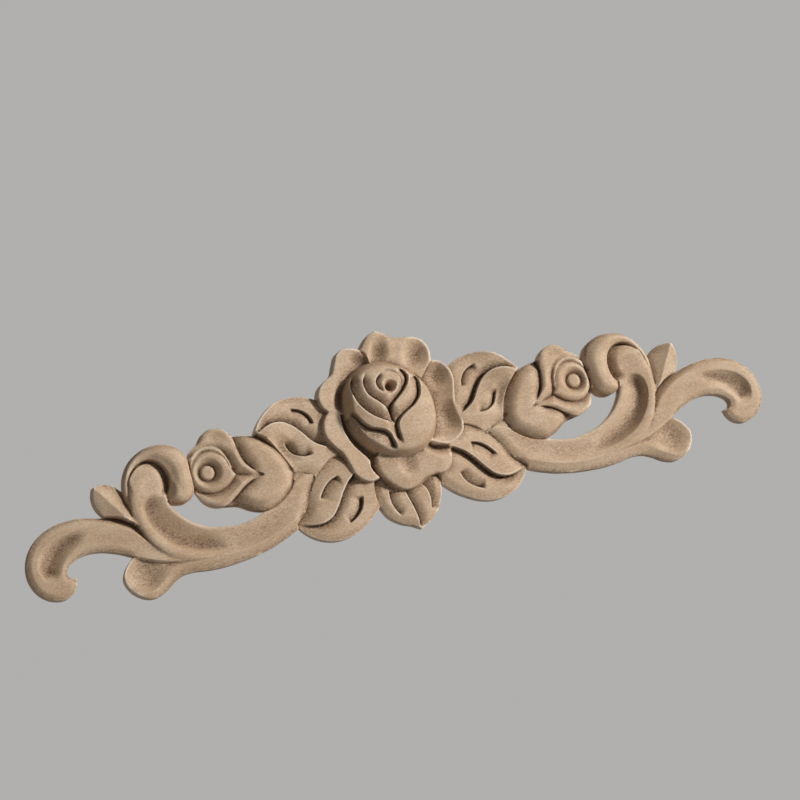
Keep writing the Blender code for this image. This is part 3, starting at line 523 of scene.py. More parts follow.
def roll():
    """The volute: a band that thins out as it wraps over the tongue."""
    outer = curve(
        (177.3, 0), (178, 9), (177.8, 17), (174.8, 26), (169.2, 33.2), (161.5, 37.6), (153, 38.9),
        (145, 37.6), (138, 33.2), (134.5, 26.4), (133.8, 18), (134.8, 9), (137.2, 3), (142, 0.3),
        (147.4, 0.4), (152, 2.8), (153.2, 6.5),
    )
    inner = curve(
        (153.2, 6.5), (150, 10.8), (148.4, 16.4), (149.2, 22.4), (152, 27.4), (156.6, 30.6), (162.5, 31.2),
        (168.5, 28.4), (173, 22.8), (175.6, 15), (176.8, 7.5), (177.3, 0),
    )
    outline = joined(outer, inner)

    def surface(x, y, depth):
        to_outer = measure(outer, x, y)[0]
        to_inner = measure(inner, x, y)[0]
        width = to_outer + to_inner
        across = to_outer / (width + TINY)
        full = ease(width / 12)
        climb = ease((across + 0.14) / 0.62)
        fall = ease((across - 0.6) / 0.4)
        edge_round = 0.9 * (1 - ease(to_outer / 1.6))
        return ROLL_EDGE + (ROLL_CREST - ROLL_EDGE) * full * climb - 2.4 * full * fall - edge_round

    return Layer(outline, surface)


def rounds(outline, width):
    """Lines beside an outline that carry the mesh round a swelling side."""
    inwards = math.copysign(width, area(outline))
    return [Ridge(offset(outline, inwards * part, closed=True)) for part in ROUND_ROWS]


# The bud


BUD_RING = [
    (108.2, 9.4), (110.4, 14.5), (112, 20.5), (116, 25), (122.3, 26.8), (128.8, 25.2), (133.2, 20.5),
    (134.7, 14), (133.2, 8), (129.4, 3.8), (123.7, 2), (117, 3.2), (112, 6.0), (108.2, 9.4),
]


def bud_body():
    outline = cornered(
        [(75, 12.5), (80.3, 21.5), (88, 29.1), (96, 31.8), (106, 33.6)],
        [(125, 25), (125, 0), (119, -8)],
        [(111, -9.6), (103, -14.4), (95, -16.7), (86.5, -14.7), (79, -10), (74, -5), (71.6, 2.5)],
    )

    def surface(x, y, depth):
        side = np.sin(0.5 * math.pi * np.clip(depth / BUD_ROUND, 0, 1))
        return BUD_EDGE + (BUD_CROWN - BUD_EDGE) * side - 1.2 * ease((x - 100) / 20)

    upper_scoop = Cut(
        curve((91.5, 5.2), (96.6, 9.5), (100.6, 15.5), (102.6, 23), (103.6, 33)), 4.2, 8, 0.6, (0.35, 0),
        1.7,
    )
    lower_scoop = Cut(
        curve((91.5, 4.2), (98, 3.0), (105, 0.2), (112, -4.6), (118, -8.2)), 3.4, 0.6, 7, (0.35, 0.2),
        1.7,
    )
    return Layer(outline, surface, [upper_scoop, lower_scoop] + rounds(outline, BUD_ROUND))


def bud_petal():
    outline = cornered(
        [
            (97.3, 9.6), (101.3, 15.6), (103.2, 23.5), (104.3, 32), (108.2, 37.6), (114.5, 40.2),
            (120.5, 38.6), (125.4, 33.4),
        ],
        [(131.3, 29.6), (134.2, 22), (134.6, 12), (134, 4.4)],
        [(130.7, -2.6), (125, -6.8), (118.5, -7.6), (111.5, -3.8), (104.5, 1.0), (98, 3.8), (91.5, 4.8)],
    )
    ring = joined(curve(*BUD_RING))
    crease = curve((108.8, 9.7), (100, 6.9), (91.5, 4.8))

    def surface(x, y, depth):
        to_ring = measure(ring, x, y, closed=True)[0]
        to_crease, _, along = measure(crease, x, y)
        to_ring = np.minimum(to_ring, to_crease + 3.4 * along)
        towards_ring = 4.4 * np.clip(1 - to_ring / 6.4, 0, 1) ** 1.3
        edge_round = 1.0 * (1 - ease(depth / 2.2))
        dish = swell(x, y, (114, 35), 8, 6, 0, -0.8)
        return 12.0 - 0.10 * (x - 96) - towards_ring - edge_round + dish

    return Layer(outline, surface, [Ridge(crease)])


def bud_crescent():
    outline = cornered(
        [(111.2, 21.5), (114.8, 27.6), (121, 30.6), (127.6, 29.8), (133, 25.4)],
        [(133, 12), (121, 10), (109.4, 14)],
    )

    def surface(x, y, depth):
        return 10.0 - 0.08 * (x - 110) - 2.4 * ease((depth - 1.2) / 3.0) - 0.6 * (1 - ease(depth / 1.2))

    return Layer(outline, surface)


def bud_ring():
    outline = joined(curve(*BUD_RING))

    def surface(x, y, depth):
        from_button = np.hypot(x - 124.2, y - 14.6)
        bowl = 4.2 * np.clip((9.4 - from_button) / 4.4, 0, 1) ** 1.5
        return BUD_RING_HEIGHT - 0.10 * (x - 109) - bowl - 1.1 * (1 - ease(depth / 2.2))

    return Layer(outline, surface)


def bud_button():
    def surface(x, y, depth):
        return BUTTON_HEIGHT - 2.2 * (1 - np.clip(depth / 2.6, 0, 1)) ** 2.2

    return Layer(ellipse((124.2, 14.6), 4.9, 4.9), surface, (), 0.5)


# The leaves


def upper_leaf():
    outline = cornered(
        [
            (46, 43.3), (53, 46.5), (61, 47.7), (69, 47.2), (76.4, 44.2), (82.8, 39), (87.4, 33.6),
            (89.6, 29.6),
        ],
        [(80.5, 21.5), (75, 12.5), (71.6, 2.8)],
        [(64, -0.5), (55, -4), (45, -4), (36, 5)],
        [(32, 20), (38, 38)],
    )
    midrib = curve(
        (44, 12), (49, 14.5), (54, 18), (58.5, 24), (63.5, 30), (70, 34), (77, 34.8), (83, 33.2),
        (89, 29.8),
    )

    def surface(x, y, depth):
        away, side, along = measure(midrib, x, y)
        rise = (LEAF_TIP_HEIGHT - LEAF_HEIGHT) * ease((x - 63 + 0.2 * (y - 20)) / 22)
        lower_half = np.where(side < 0, 1.4 * ease(along / 0.3), 0) * np.clip(1 - away / 16, 0, 1)
        hollow = swell(x, y, (73, 17), 14, 8, 58, -3.4)
        edge_round = 1.5 * (1 - ease(depth / 6)) * (1 - 0.6 * ease((x - 66) / 10))
        return LEAF_HEIGHT + rise + lower_half + hollow - edge_round

    rib = Cut(midrib, DEEP_CUT, 9, 0.6, (0.12, 0.2), 2)
    upper_vein = Cut(
        curve((50.6, 28), (52, 33), (56, 37.6), (63, 40.5)), VEIN_CUT, 0.6, 6.5, (0.09, 0.13), 1.6,
    )
    lower_vein = Cut(
        curve((55.5, 10.2), (63, 10.7), (68.6, 14.4), (71.8, 21.8)), VEIN_CUT, 8, 0.6, (0.18, 0.13), 1.6,
    )
    return Layer(outline, surface, [rib, upper_vein, lower_vein])


def lower_leaf():
    outline = cornered(
        [(44, 4.8), (51, 1.5), (57.5, -4), (63, -11), (67.5, -19), (71.2, -24.5), (77.8, -29.8)],
        [
            (76.6, -33.3), (71, -39.6), (63.4, -44.2), (53.8, -46.2), (44, -44.9), (35, -40.8), (27, -35.2),
            (19.6, -27.6),
        ],
        [(16, -20), (20, -8), (30, 2)],
    )
    midrib = curve(
        (31, -7), (37, -10.5), (43, -16.5), (48.5, -24), (54.5, -30.8), (62, -33.8), (70, -33), (77.2, -30),
    )

    def surface(x, y, depth):
        away, side, along = measure(midrib, x, y)
        upper_half = np.where(side > 0, 1.8, 0) * np.clip(1 - away / 14, 0, 1) * ease((1 - along) / 0.3)
        towards_tip = 1.6 * ease((x - 60) / 16)
        return LEAF_HEIGHT + upper_half - towards_tip - 1.5 * (1 - ease(depth / 6))

    rib = Cut(midrib, DEEP_CUT, 0.6, 9, (0.05, 0.25), 2)
    upper_vein = Cut(
        curve((44.5, -7.2), (50.5, -9.2), (55.5, -13.2), (60, -19)), VEIN_CUT, 0.6, 8, (0.1, 0.15),
    )
    lower_vein = Cut(
        curve((33, -23), (35.5, -29.5), (40, -34), (46.5, -37.5)), 3.4, 8.5, 0.6, (0.09, 0.15),
    )
    return Layer(outline, surface, [rib, upper_vein, lower_vein])


def stem():
    outline = loop((56, 1), (66, 3.4), (75, 4), (79, -4), (80, -12), (70, -14), (60, -10))
    ridge = curve((56, -3), (66, -3.4), (78, -3))

    def surface(x, y, depth):
        away = measure(ridge, x, y)[0]
        return 6.4 - 0.28 * away

    return Layer(outline, surface, [Ridge(ridge)])


def bottom_leaf():
    outline = cornered(
        [(-23.8, -22), (-23.5, -31.5), (-20, -39.8), (-13.2, -45.6), (-6, -48.8), (-1.2, -51.8)],
        [(5.4, -48.6), (11.6, -43.8), (15.8, -38), (18.4, -31), (19.2, -24), (17, -12)],
        [(0, -4), (-20, -6)],
    )
    midrib = curve((-4.8, -22), (-4.4, -29), (-2.8, -36), (-1.6, -43), (-1.4, -51.8))

    def surface(x, y, depth):
        under_petals = 2.6 * ease((y + 30) / 12)
        return 7.2 - under_petals - 1.6 * (1 - ease(depth / 5))

    rib = Cut(midrib, 2.8, 6.5, 0.6, (0, 0.15), 1.6)
    left_vein = Cut(
        curve((-15, -24), (-15.8, -30), (-14.4, -36), (-11.4, -41.5)), VEIN_CUT, 6.5, 0.6, (0.05, 0.16),
    )
    right_vein = Cut(
        curve((7.2, -24), (9.6, -30), (9.8, -36), (8.2, -42)), 3.6, 9, 0.6, (0.05, 0.16), 1.4,
    )
    return Layer(outline, surface, [rib, left_vein, right_vein])


# The rose


def petal(rim, through, fall, width, dishes=(), rim_height=PETAL_RIM):
    """A petal that falls from its free rim to the heart of the rose, and closes through covered points."""
    rim_line = curve(*rim)
    outline = joined(rim_line, curve(rim[-1], *through, rim[0]))

    def surface(x, y, depth):
        from_rim = measure(rim_line, x, y)[0]
        height = rim_height - fall * scooped(from_rim, width) - 0.5 * (1 - ease(from_rim / 1.2))
        for centre, half_length, half_width, turn, drop in dishes:
            height = height + swell(x, y, centre, half_length, half_width, turn, -drop)
        return height

    return Layer(outline, surface)


def top_petal():
    rim = (
        (-8.4, 66), (-4.6, 70.6), (-0.6, 73.8), (4, 74.9), (8.6, 72.6), (13.5, 68.8), (20, 67.2), (27, 66),
        (32.4, 63), (35.2, 57), (34.6, 49),
    )
    return petal(
        rim, [(27, 36), (0, 36), (-14, 52)], -1.6, 20,
        [((2, 62), 11.5, 7.5, 65, 3.8), ((25.5, 55), 13.5, 10.5, 50, 5.6)],
    )


def right_petal():
    rim = (
        (34.6, 49), (40, 46.8), (44, 42), (45.4, 35), (43.8, 27.5), (42.0, 20), (42.4, 13), (43.4, 7),
        (41.7, 1), (37, -2.8), (30.5, -5), (24, -3), (16.5, 1),
    )
    return petal(
        rim, [(15, 25)], 4.6, 14,
        [((36, 39), 10, 8, 75, 2.0), ((36, 13), 12, 9, 90, 3.0)],
    )


def upper_left_petal():
    rim = (
        (-7, 54), (-6.6, 60), (-9.6, 65.6), (-14, 67.9), (-19.4, 68.8), (-24, 66.8), (-27.8, 60.6),
        (-31, 55), (-36.4, 52), (-41, 48.6), (-43.6, 43), (-43.2, 37), (-39.6, 32),
    )
    return petal(
        rim, [(-20, 28)], 1.4, 14,
        [((-12, 59), 9, 7, 120, 2.2), ((-29, 40), 13, 6, 70, 3.4)],
    )


def lower_left_petal():
    rim = (
        (-33, 31.5), (-36, 33.4), (-40.4, 32), (-45, 26.4), (-45.9, 18.5), (-42.5, 11), (-38.2, 5),
        (-36.2, -2), (-34.8, -8), (-31.4, -13), (-26.4, -15.8), (-20.2, -15.2),
    )
    return petal(
        rim, [(-23.4, -8), (-23.2, -3), (-26.8, 3), (-31, 10), (-33.6, 19)], 0.9, 12,
    )


def bottom_petal():
    rim = (
        (-18.4, -2), (-19, -9), (-16, -17), (-11, -23), (-5, -26.2), (2, -25.6), (9, -22), (16, -21),
        (23, -21.3), (28, -17.5), (30.2, -11.5), (29.6, -5),
    )
    return petal(
        rim, [(24, 2), (0, 8)], -2.2, 20,
        [((0, -12), 9, 8, 90, 2.0), ((23, -4), 13, 7.5, 160, 8.0)], 10.0,
    )


def dome():
    """The closed heart of the rose: its petals overlap in steps that run down to one point."""
    outline = loop(
        (27.8, 26), (26.0, 34.4), (20.2, 42.4), (11.4, 49.6), (1, 54.6), (-10, 55.2), (-18.8, 51.6),
        (-25.6, 44.4), (-29.7, 34.4), (-30.3, 25), (-28.2, 14.6), (-23.0, 5.8), (-15.6, -0.8), (-6.8, -5.1),
        (3, -6.3), (12.6, -4.4), (19.8, 0.8), (24.8, 7.6), (27.4, 16),
    )

    def surface(x, y, depth):
        edge = np.clip(1 - depth / 24, 0, 1)
        face = DOME_SHOULDER + (DOME_TOP - DOME_SHOULDER) * (1 - edge**2.2)
        side = np.sin(0.5 * math.pi * np.clip(depth / DOME_ROUND, 0, 1))
        base = DOME_BASE + between(y, (-6, 1.6), (6, 0), (34, 0), (46, 2.4))
        return base + (face - base) * side

    # Depth, widths on the left and right, fades at both ends, and the line of each cut.
    grooves = (
        (3.6, 5.5, 0.8, (0.2, 0.1), (
            (-11.6, 50), (-14.2, 46.8), (-15.5, 43.2), (-15.7, 40), (-15, 36.8), (-13.3, 33.9),
            (-10.2, 30.7), (-7.3, 27.2), (-5.3, 24.1), (-4.2, 21), (-3.8, 17.6), (-3.4, 14.6),
        )),
        (4.0, 7, 0.8, (0.14, 0.1), (
            (-18.4, 50.4), (-21.6, 46.6), (-23.2, 42.2), (-23.4, 37.7), (-22.4, 33.1), (-20.2, 28.5),
            (-16.9, 24.2), (-12.5, 20.4), (-8.7, 18), (-4.8, 15.6),
        )),
        (4.0, 0.9, 5.5, (0.08, 0.08), (
            (9.6, 48.4), (11.4, 46.2), (12.6, 43.6), (12.8, 41), (12.1, 39.2), (10.9, 37.4), (9.3, 35.5),
            (6.6, 33), (3.2, 30.5), (-0.3, 28), (-2.6, 25.9), (-3.5, 23.8), (-3.9, 20.3), (-3.6, 17.2),
            (-3.1, 14.4),
        )),
        (4.0, 0.9, 7, (0.05, 0.14), (
            (18.8, 42.2), (19.4, 38), (19, 34.9), (18.1, 31.5), (16.5, 28), (14, 25.3), (11, 23),
            (7.1, 21.1), (3.3, 19.1), (-0.2, 16.8), (-2.1, 14.5), (-2.9, 11.8), (-3.0, 8), (-2.5, 4),
            (-2.3, -0.4),
        )),
        (4.4, 0.9, 11, (0.06, 0.1), (
            (-28.4, 28), (-26.6, 25.4), (-24.8, 22), (-22.9, 18.7), (-19.5, 15.1), (-15.4, 13.2),
            (-11.6, 11.3), (-8.9, 8.8), (-7.8, 5.7), (-7.1, 2.0), (-6.8, -2.0),
        )),
        (3.2, 3.6, 0.7, (0.25, 0.25), (
            (-2.2, 46.8), (-5.3, 45.2), (-7.2, 43.3), (-8, 41), (-7.7, 38.6), (-6.6, 36.6), (-4.8, 34.6),
        )),
        (0.9, 1.6, 0.8, (0.2, 0.2), (
            (-2.6, 47.4), (1.5, 48), (5, 46.4), (7.8, 43.4), (8.7, 40), (8, 36.8), (5.8, 34.2),
        )),
    )
    cuts = [Cut(curve(*line), *sizes) for *sizes, line in grooves]
    return Layer(outline, surface, cuts + rounds(outline, DOME_ROUND), DOME_WALL)


def eye():
    """The bored hole in the heart of the rose, with a sloping side."""
    def surface(x, y, depth):
        return DOME_TOP - 1.0 - 6.5 * ease(depth / 3.4)

    return Layer(ellipse((-0.1, 37.6), 4.5, 4.5), surface, (), 0.3)


def layers():
    """Every element in painting order, with its side: 1 as drawn, -1 mirrored."""
    paired = (
        scroll_ground, stem, sprout, lobe, tail, arm, roll, upper_leaf, bud_body, bud_petal, bud_crescent,
        bud_ring, bud_button, lower_leaf,
    )
    single = (
        bottom_leaf, rose_ground, top_petal, upper_left_petal, bottom_petal, lower_left_petal,
        right_petal, dome, eye,
    )
    found = []
    for draw in paired:
        layer = draw()
        found += [(layer, 1), (layer, -1)]
    return found + [(draw(), 1) for draw in single]


def carve(painted, x, y):
    """Height at each place, and the number of the layer on top there."""
    height = np.full(x.shape, NOTHING)
    top = np.full(x.shape, -1)
    for number, (layer, sign) in enumerate(painted):
        near = boxed(layer.outline, layer.wall, x * sign, y)
        if not near.any():
            continue
        own, depth = layer.height(x[near] * sign, y[near])
        below = height[near]
        out = np.clip(-depth / layer.wall, 0, 1)
        within = depth >= np.where(below > NOTHING, ON_OUTLINE, -MEETING)
        on_wall = ~within & (out < 1) & (below > NOTHING)
        own = np.where(on_wall, own + (below - own) * out, own)
        height[near] = np.where(within | on_wall, own, below)
        top[near] = np.where(within, number, top[near])
    return height, top


# The mesh


def stretches(line, kept):
    """The parts of a line whose points are kept, each as an array."""
    breaks = np.flatnonzero(np.diff(np.concatenate([[0], kept.astype(int), [0]])))
    parts = [line[start:stop] for start, stop in zip(breaks[::2], breaks[1::2])]
    return [part for part in parts if len(part) > 1]


def covered(painted, places):
    """Whether each place lies on one of the layers."""
    found = np.zeros(len(places), bool)
    for layer, sign in painted:
        found |= inside(layer.outline, places[:, 0] * sign, places[:, 1])
    return found


def uncovered(line, painted, number, sign):
    """The parts of a line that no later layer covers, each with one more point at an end that is covered."""
    placed = line * (sign, 1)
    shown = ~covered(painted[number + 1:], placed)
    widened = shown.copy()
    widened[1:] |= shown[:-1]
    widened[:-1] |= shown[1:]
    return stretches(placed, widened)


def clear_rows(outline, aside, least):
    """The parts of a line beside an outline that stay at least so far from all of it."""
    row = offset(outline, aside, closed=True)
    distance = measure(outline, row[:, 0], row[:, 1], closed=True)[0]
    return stretches(np.vstack([row, row[:1]]), np.append(distance, distance[0]) > least)


def feature_lines(painted):
    """Lines that the mesh follows: outlines, the feet of their walls, cuts and ridges."""
    lines = []
    for number, (layer, sign) in enumerate(painted):
        lines += uncovered(np.vstack([layer.outline, layer.outline[:1]]), painted, number, sign)
        outwards = -math.copysign(layer.wall * FOOT_CLEARANCE, area(layer.outline))
        inwards = math.copysign(EASED_WIDTH * FOOT_CLEARANCE, area(layer.outline))
        rows = clear_rows(layer.outline, outwards, layer.wall)
        rows += clear_rows(layer.outline, inwards, EASED_WIDTH)
        for cut in layer.cuts:
            for row in cut.rows():
                rows += stretches(row, inside(layer.outline, row[:, 0], row[:, 1]))
        for row in rows:
            lines += uncovered(row, painted, number, sign)
    return lines


def filling(painted, lines):
    """Points of a staggered grid that lie on the carving and stand clear of its lines."""
    corners = np.vstack([layer.outline * (sign, 1) for layer, sign in painted])
    low = corners.min(axis=0)
    high = corners.max(axis=0)
    rise = FILL * math.sqrt(3) / 2
    found = []
    for row, y in enumerate(np.arange(low[1], high[1], rise)):
        shift = FILL / 2 * (row % 2)
        x = np.arange(low[0] + shift, high[0], FILL)
        found.append(np.column_stack([x, np.full(x.shape, y)]))
    grid = np.vstack(found)
    grid = grid[covered(painted, grid)]
    tree = KDTree(sum(len(line) for line in lines))
    count = 0
    for line in lines:
        for point in line:
            tree.insert((*point, 0), count)
            count += 1
    tree.balance()
    return [tuple(point) for point in grid if tree.find((*point, 0))[2] > FILL * FILL_CLEARANCE]


def flat_mesh(painted, points, edges):
    """A flat mesh that keeps the edges: its points, and those of its triangles that lie on the carving."""
    found = delaunay_2d_cdt([Vector(point) for point in points], edges, [], 0, TOUCHING)
    flat = np.array([tuple(point) for point in found[0]])
    triangles = np.array(found[2])
    return flat, triangles[covered(painted, flat[triangles].mean(axis=1))]


def meeting(lines):
    """Points and edges of the lines, with points that nearly meet drawn together."""
    points = []
    edges = []
    cells = {}

    def place(point):
        cell = (math.floor(point[0] / MEETING), math.floor(point[1] / MEETING))
        for step_x in (-1, 0, 1):
            for step_y in (-1, 0, 1):
                for other in cells.get((cell[0] + step_x, cell[1] + step_y), ()):
                    if math.dist(points[other], point) < MEETING:
                        return other
        cells.setdefault(cell, []).append(len(points))
        points.append(tuple(point))
        return len(points) - 1

    for line in lines:
        placed = [place(point) for point in line]
        edges += [(start, end) for start, end in zip(placed, placed[1:]) if start != end]
    return points, edges


def edge_of(triangles):
    """The edges that only one triangle has, each in that triangle's direction."""
    directed = np.vstack([triangles[:, [0, 1]], triangles[:, [1, 2]], triangles[:, [2, 0]]])
    known = {tuple(pair) for pair in directed.tolist()}
    return sorted(pair for pair in known if pair[::-1] not in known)


def solid_mesh():
    """Points and triangles of the closed carving, and the marks of the cuts on its carved face."""
    painted = layers()
    lines = feature_lines(painted)
    points, edges = meeting(lines)
    flat, front = flat_mesh(painted, points + filling(painted, lines), edges)
    used, front = np.unique(front, return_inverse=True)
    front = front.reshape(-1, 3)
    flat = flat[used]
    height, top = carve(painted, flat[:, 0], flat[:, 1])
    rim = edge_of(front)
    rim_points = sorted({end for pair in rim for end in pair})
    below = {point: len(flat) + number for number, point in enumerate(rim_points)}
    walls = []
    for start, end in rim:
        walls += [(start, below[start], below[end]), (start, below[end], end)]
    rim_edges = [(below[start] - len(flat), below[end] - len(flat)) for start, end in rim]
    _, back = flat_mesh(painted, flat[rim_points], rim_edges)
    back = back[:, ::-1] + len(flat)
    points = np.vstack([
        np.column_stack([flat, height]),
        np.column_stack([flat[rim_points], np.zeros(len(rim_points))]),
    ])
    return points, np.vstack([front, np.array(walls), back]), cut_marks(painted, flat, top)


# How each point sits in the relief, for the wood's tones and for its painted shade and highlights


# Over how many rounds of neighbours heights and bends are softened.
WIDE_ROUNDS = 60
CUT_ROUNDS = 3

# Where each tone starts and how soon it is full: heights below the surroundings and depths of cuts in
# millimetres, bends per millimetre, and tilts in degrees.
SHADE_DUST_BELOW = 0.3
SHADE_DUST_DEPTH = 1.6
PIT_FROM = 1.4
PIT_DEPTH = 2.0
CUT_FROM = 0.05
CUT_TO = 0.26
LINE_WIDTH = 0.9
LINE_DEPTH = 2.0
SUNK_DEPTH = 3.4
EDGE_FROM = 0.14
EDGE_TO = 0.42
STEEP_FROM = 42
STEEP_TO = 68

# A hollow counts as sunk by this share of its depth, because its floor stays open to the light.
HOLLOW_SHARE = 0.2


def mean_of_ends(at_first, at_second, pairs, count):
    """Each point's mean of the values that its edges hold for their first and their second end."""
    first, second = pairs.T
    total = np.bincount(first, at_first, count) + np.bincount(second, at_second, count)
    edges = np.bincount(first, minlength=count) + np.bincount(second, minlength=count)
    return total / np.maximum(edges, 1)


def softened(values, pairs, rounds):
    """The values spread over the points around each one."""
    found = values.copy()
    for _ in range(rounds):
        found = 0.5 * found + 0.5 * mean_of_ends(found[pairs[:, 1]], found[pairs[:, 0]], pairs, len(found))
    return found


def bend(place, normal, pairs):
    """How sharply the surface turns at each point, per millimetre: above 0 on edges, below 0 in cuts."""
    first, second = pairs.T
    step = place[second] - place[first]
    turn = ((normal[second] - normal[first]) * step).sum(axis=1) / (step * step).sum(axis=1)
    return mean_of_ends(turn, turn, pairs, len(place))


def cut_marks(painted, flat, top):
    """From 0 to 1 at each point, how near it is to the bottom of a cut, and how deep the cuts are there."""
    line = np.zeros(len(flat))
    sunk = np.zeros(len(flat))
    for number, (layer, sign) in enumerate(painted):
        here = np.flatnonzero(top == number)
        if not len(here):
            continue
        x = flat[here, 0] * sign
        y = flat[here, 1]
        # The depths of cuts and hollows become painted shade and dust on their sides.
        for cut in layer.cuts:
            if not isinstance(cut, Cut):
                sunk[here] += HOLLOW_SHARE * cut.drop(x, y)
                continue
            sunk[here] += cut.drop(x, y)
            distance, _, along = measure(cut.path, x, y)
            near = np.clip(1 - distance / LINE_WIDTH, 0, 1) * cut.strength(along)
            line[here] = np.maximum(line[here], near * min(cut.depth / LINE_DEPTH, 1))
    return line, ease(sunk / SUNK_DEPTH)


def read(items, name, size, kind=float):
    """One value of every item of a mesh, a row to each."""
    values = np.empty(len(items) * size, kind)
    items.foreach_get(name, values)
    return values.reshape(-1, size)


def tones(mesh, line, sunk):
    """Writes six values to each point of the carved face, and 0 to the points of the back."""
    back = (0, len(mesh.vertices) - len(line))
    place = read(mesh.vertices, "co", 3) / MM
    normal = read(mesh.vertices, "normal", 3)
    pairs = read(mesh.edges, "vertices", 2, int)
    pairs = pairs[(pairs < len(line)).all(axis=1)]
    above = softened(place[:, 1], pairs, WIDE_ROUNDS) - place[:, 1]
    turned = bend(place, normal, pairs)
    cut = ease((-softened(turned, pairs, CUT_ROUNDS) - CUT_FROM) / (CUT_TO - CUT_FROM))
    pit = ease((-above - PIT_FROM) / PIT_DEPTH)
    tilt = np.degrees(np.arccos(np.clip(-normal[:, 1], -1, 1)))
    steep = ease((tilt - STEEP_FROM) / (STEEP_TO - STEEP_FROM))
    # The cut marks and creases carry painted shade, the height below the surroundings carries dust and
    # painted shade, the bend of edges carries painted highlights, and the tilt carries brown that is partly
    # painted shade.
    found = {
        "line": np.pad(line, back),
        "sunk": np.pad(sunk, back),
        "hollow": np.maximum(cut, pit),
        "dust_and_shade": ease((SHADE_DUST_BELOW - above) / SHADE_DUST_DEPTH) * (1 - steep),
        "edge": ease((softened(turned, pairs, 1) - EDGE_FROM) / (EDGE_TO - EDGE_FROM)),
        "steep": steep,
    }
    for name, values in found.items():
        values[len(line):] = 0
        layer = mesh.attributes.new(name, "FLOAT", "POINT")
        layer.data.foreach_set("value", values.astype(np.float32))


# The wood


def feed(tree, socket, value):
    """Links another node's output to the socket, or sets a plain value on it."""
    if isinstance(value, bpy.types.NodeSocket):
        tree.links.new(value, socket)
    else:
        socket.default_value = value


def add(tree, kind, **inputs):
    """A node with its inputs fed, their names written with _ for each space."""
    made = tree.nodes.new(kind)
    for name, value in inputs.items():
        feed(tree, made.inputs[name.replace("_", " ")], value)
    return made


def noise(tree, place, cells, detail, roughness):
    """Noise with so many cells to the metre."""
    made = add(tree, "ShaderNodeTexNoise", Vector=place, Scale=cells, Detail=detail, Roughness=roughness)
    return made.outputs["Fac"]


def stretched(tree, place, along):
    """The place drawn out along the wood's length, where along is below 1."""
    return add(tree, "ShaderNodeMapping", Vector=place, Scale=(along, 1.0, 1.0)).outputs["Vector"]


def ramp(tree, value, low, high, bottom=0.0, top=1.0):
    """A smooth rise of the value's range from low to high, to one from bottom to top."""
    made = add(
        tree, "ShaderNodeMapRange", Value=value, From_Min=low, From_Max=high, To_Min=bottom, To_Max=top,
    )
    made.interpolation_type = "SMOOTHSTEP"
    return made.outputs["Result"]


def maths(tree, operation, first, second, clamp=False):
    made = tree.nodes.new("ShaderNodeMath")
    made.operation = operation
    made.use_clamp = clamp
    feed(tree, made.inputs[0], first)
    feed(tree, made.inputs[1], second)
    return made.outputs["Value"]


def times(tree, first, second):
    return maths(tree, "MULTIPLY", first, second)


def blend(tree, factor, under, over):
    made = tree.nodes.new("ShaderNodeMix")
    made.data_type = "RGBA"
    colours = [socket for socket in made.inputs if socket.type == "RGBA"]
    factors = [socket for socket in made.inputs if socket.name == "Factor" and socket.type == "VALUE"]
    feed(tree, factors[0], factor)
    feed(tree, colours[0], under)
    feed(tree, colours[1], over)
    return [socket for socket in made.outputs if socket.type == "RGBA"][0]


def attribute(tree, name):
    made = tree.nodes.new("ShaderNodeAttribute")
    made.attribute_name = name
    return made.outputs["Fac"]


BODY = (0.56, 0.405, 0.275, 1)
PALE = (0.64, 0.49, 0.35, 1)
WARM = (0.47, 0.32, 0.20, 1)
# Pale grit specks, and painted highlights on edges.
PALE_GRIT_AND_HIGHLIGHT = (0.90, 0.79, 0.67, 1)
# A brown for steep sides, partly tool burn and partly painted shade.
BURN_AND_SHADE_BROWN = (0.36, 0.19, 0.09, 1)
# Painted shade in creases, pits and along the bottoms of cuts.
CREVICE_SHADE = (0.050, 0.022, 0.011, 1)
# Dark grit and dust blotches, thickest where dust lies and shade is painted.
SPECK = (0.13, 0.070, 0.036, 1)
# Dust and painted shade in low places and on the sides of cuts.
DUST_AND_SHADE_TONE = (0.22, 0.125, 0.065, 1)

# How much dark grit shows on open wood, and how much more in low places and cuts, where dust lies and
# shade is painted.
OPEN_SPECKS = 0.2
SHADE_DUST_SPECKS = 0.68

# Roughness at its least and most, specular level, and the grain's depth in metres.
SMOOTHEST = 0.62
ROUGHEST = 0.78
SHINE = 0.35
GRAIN_DEPTH = 0.0002

# An edge between faces that turn by more than this is drawn sharp.
SHARP_ANGLE = math.radians(75)


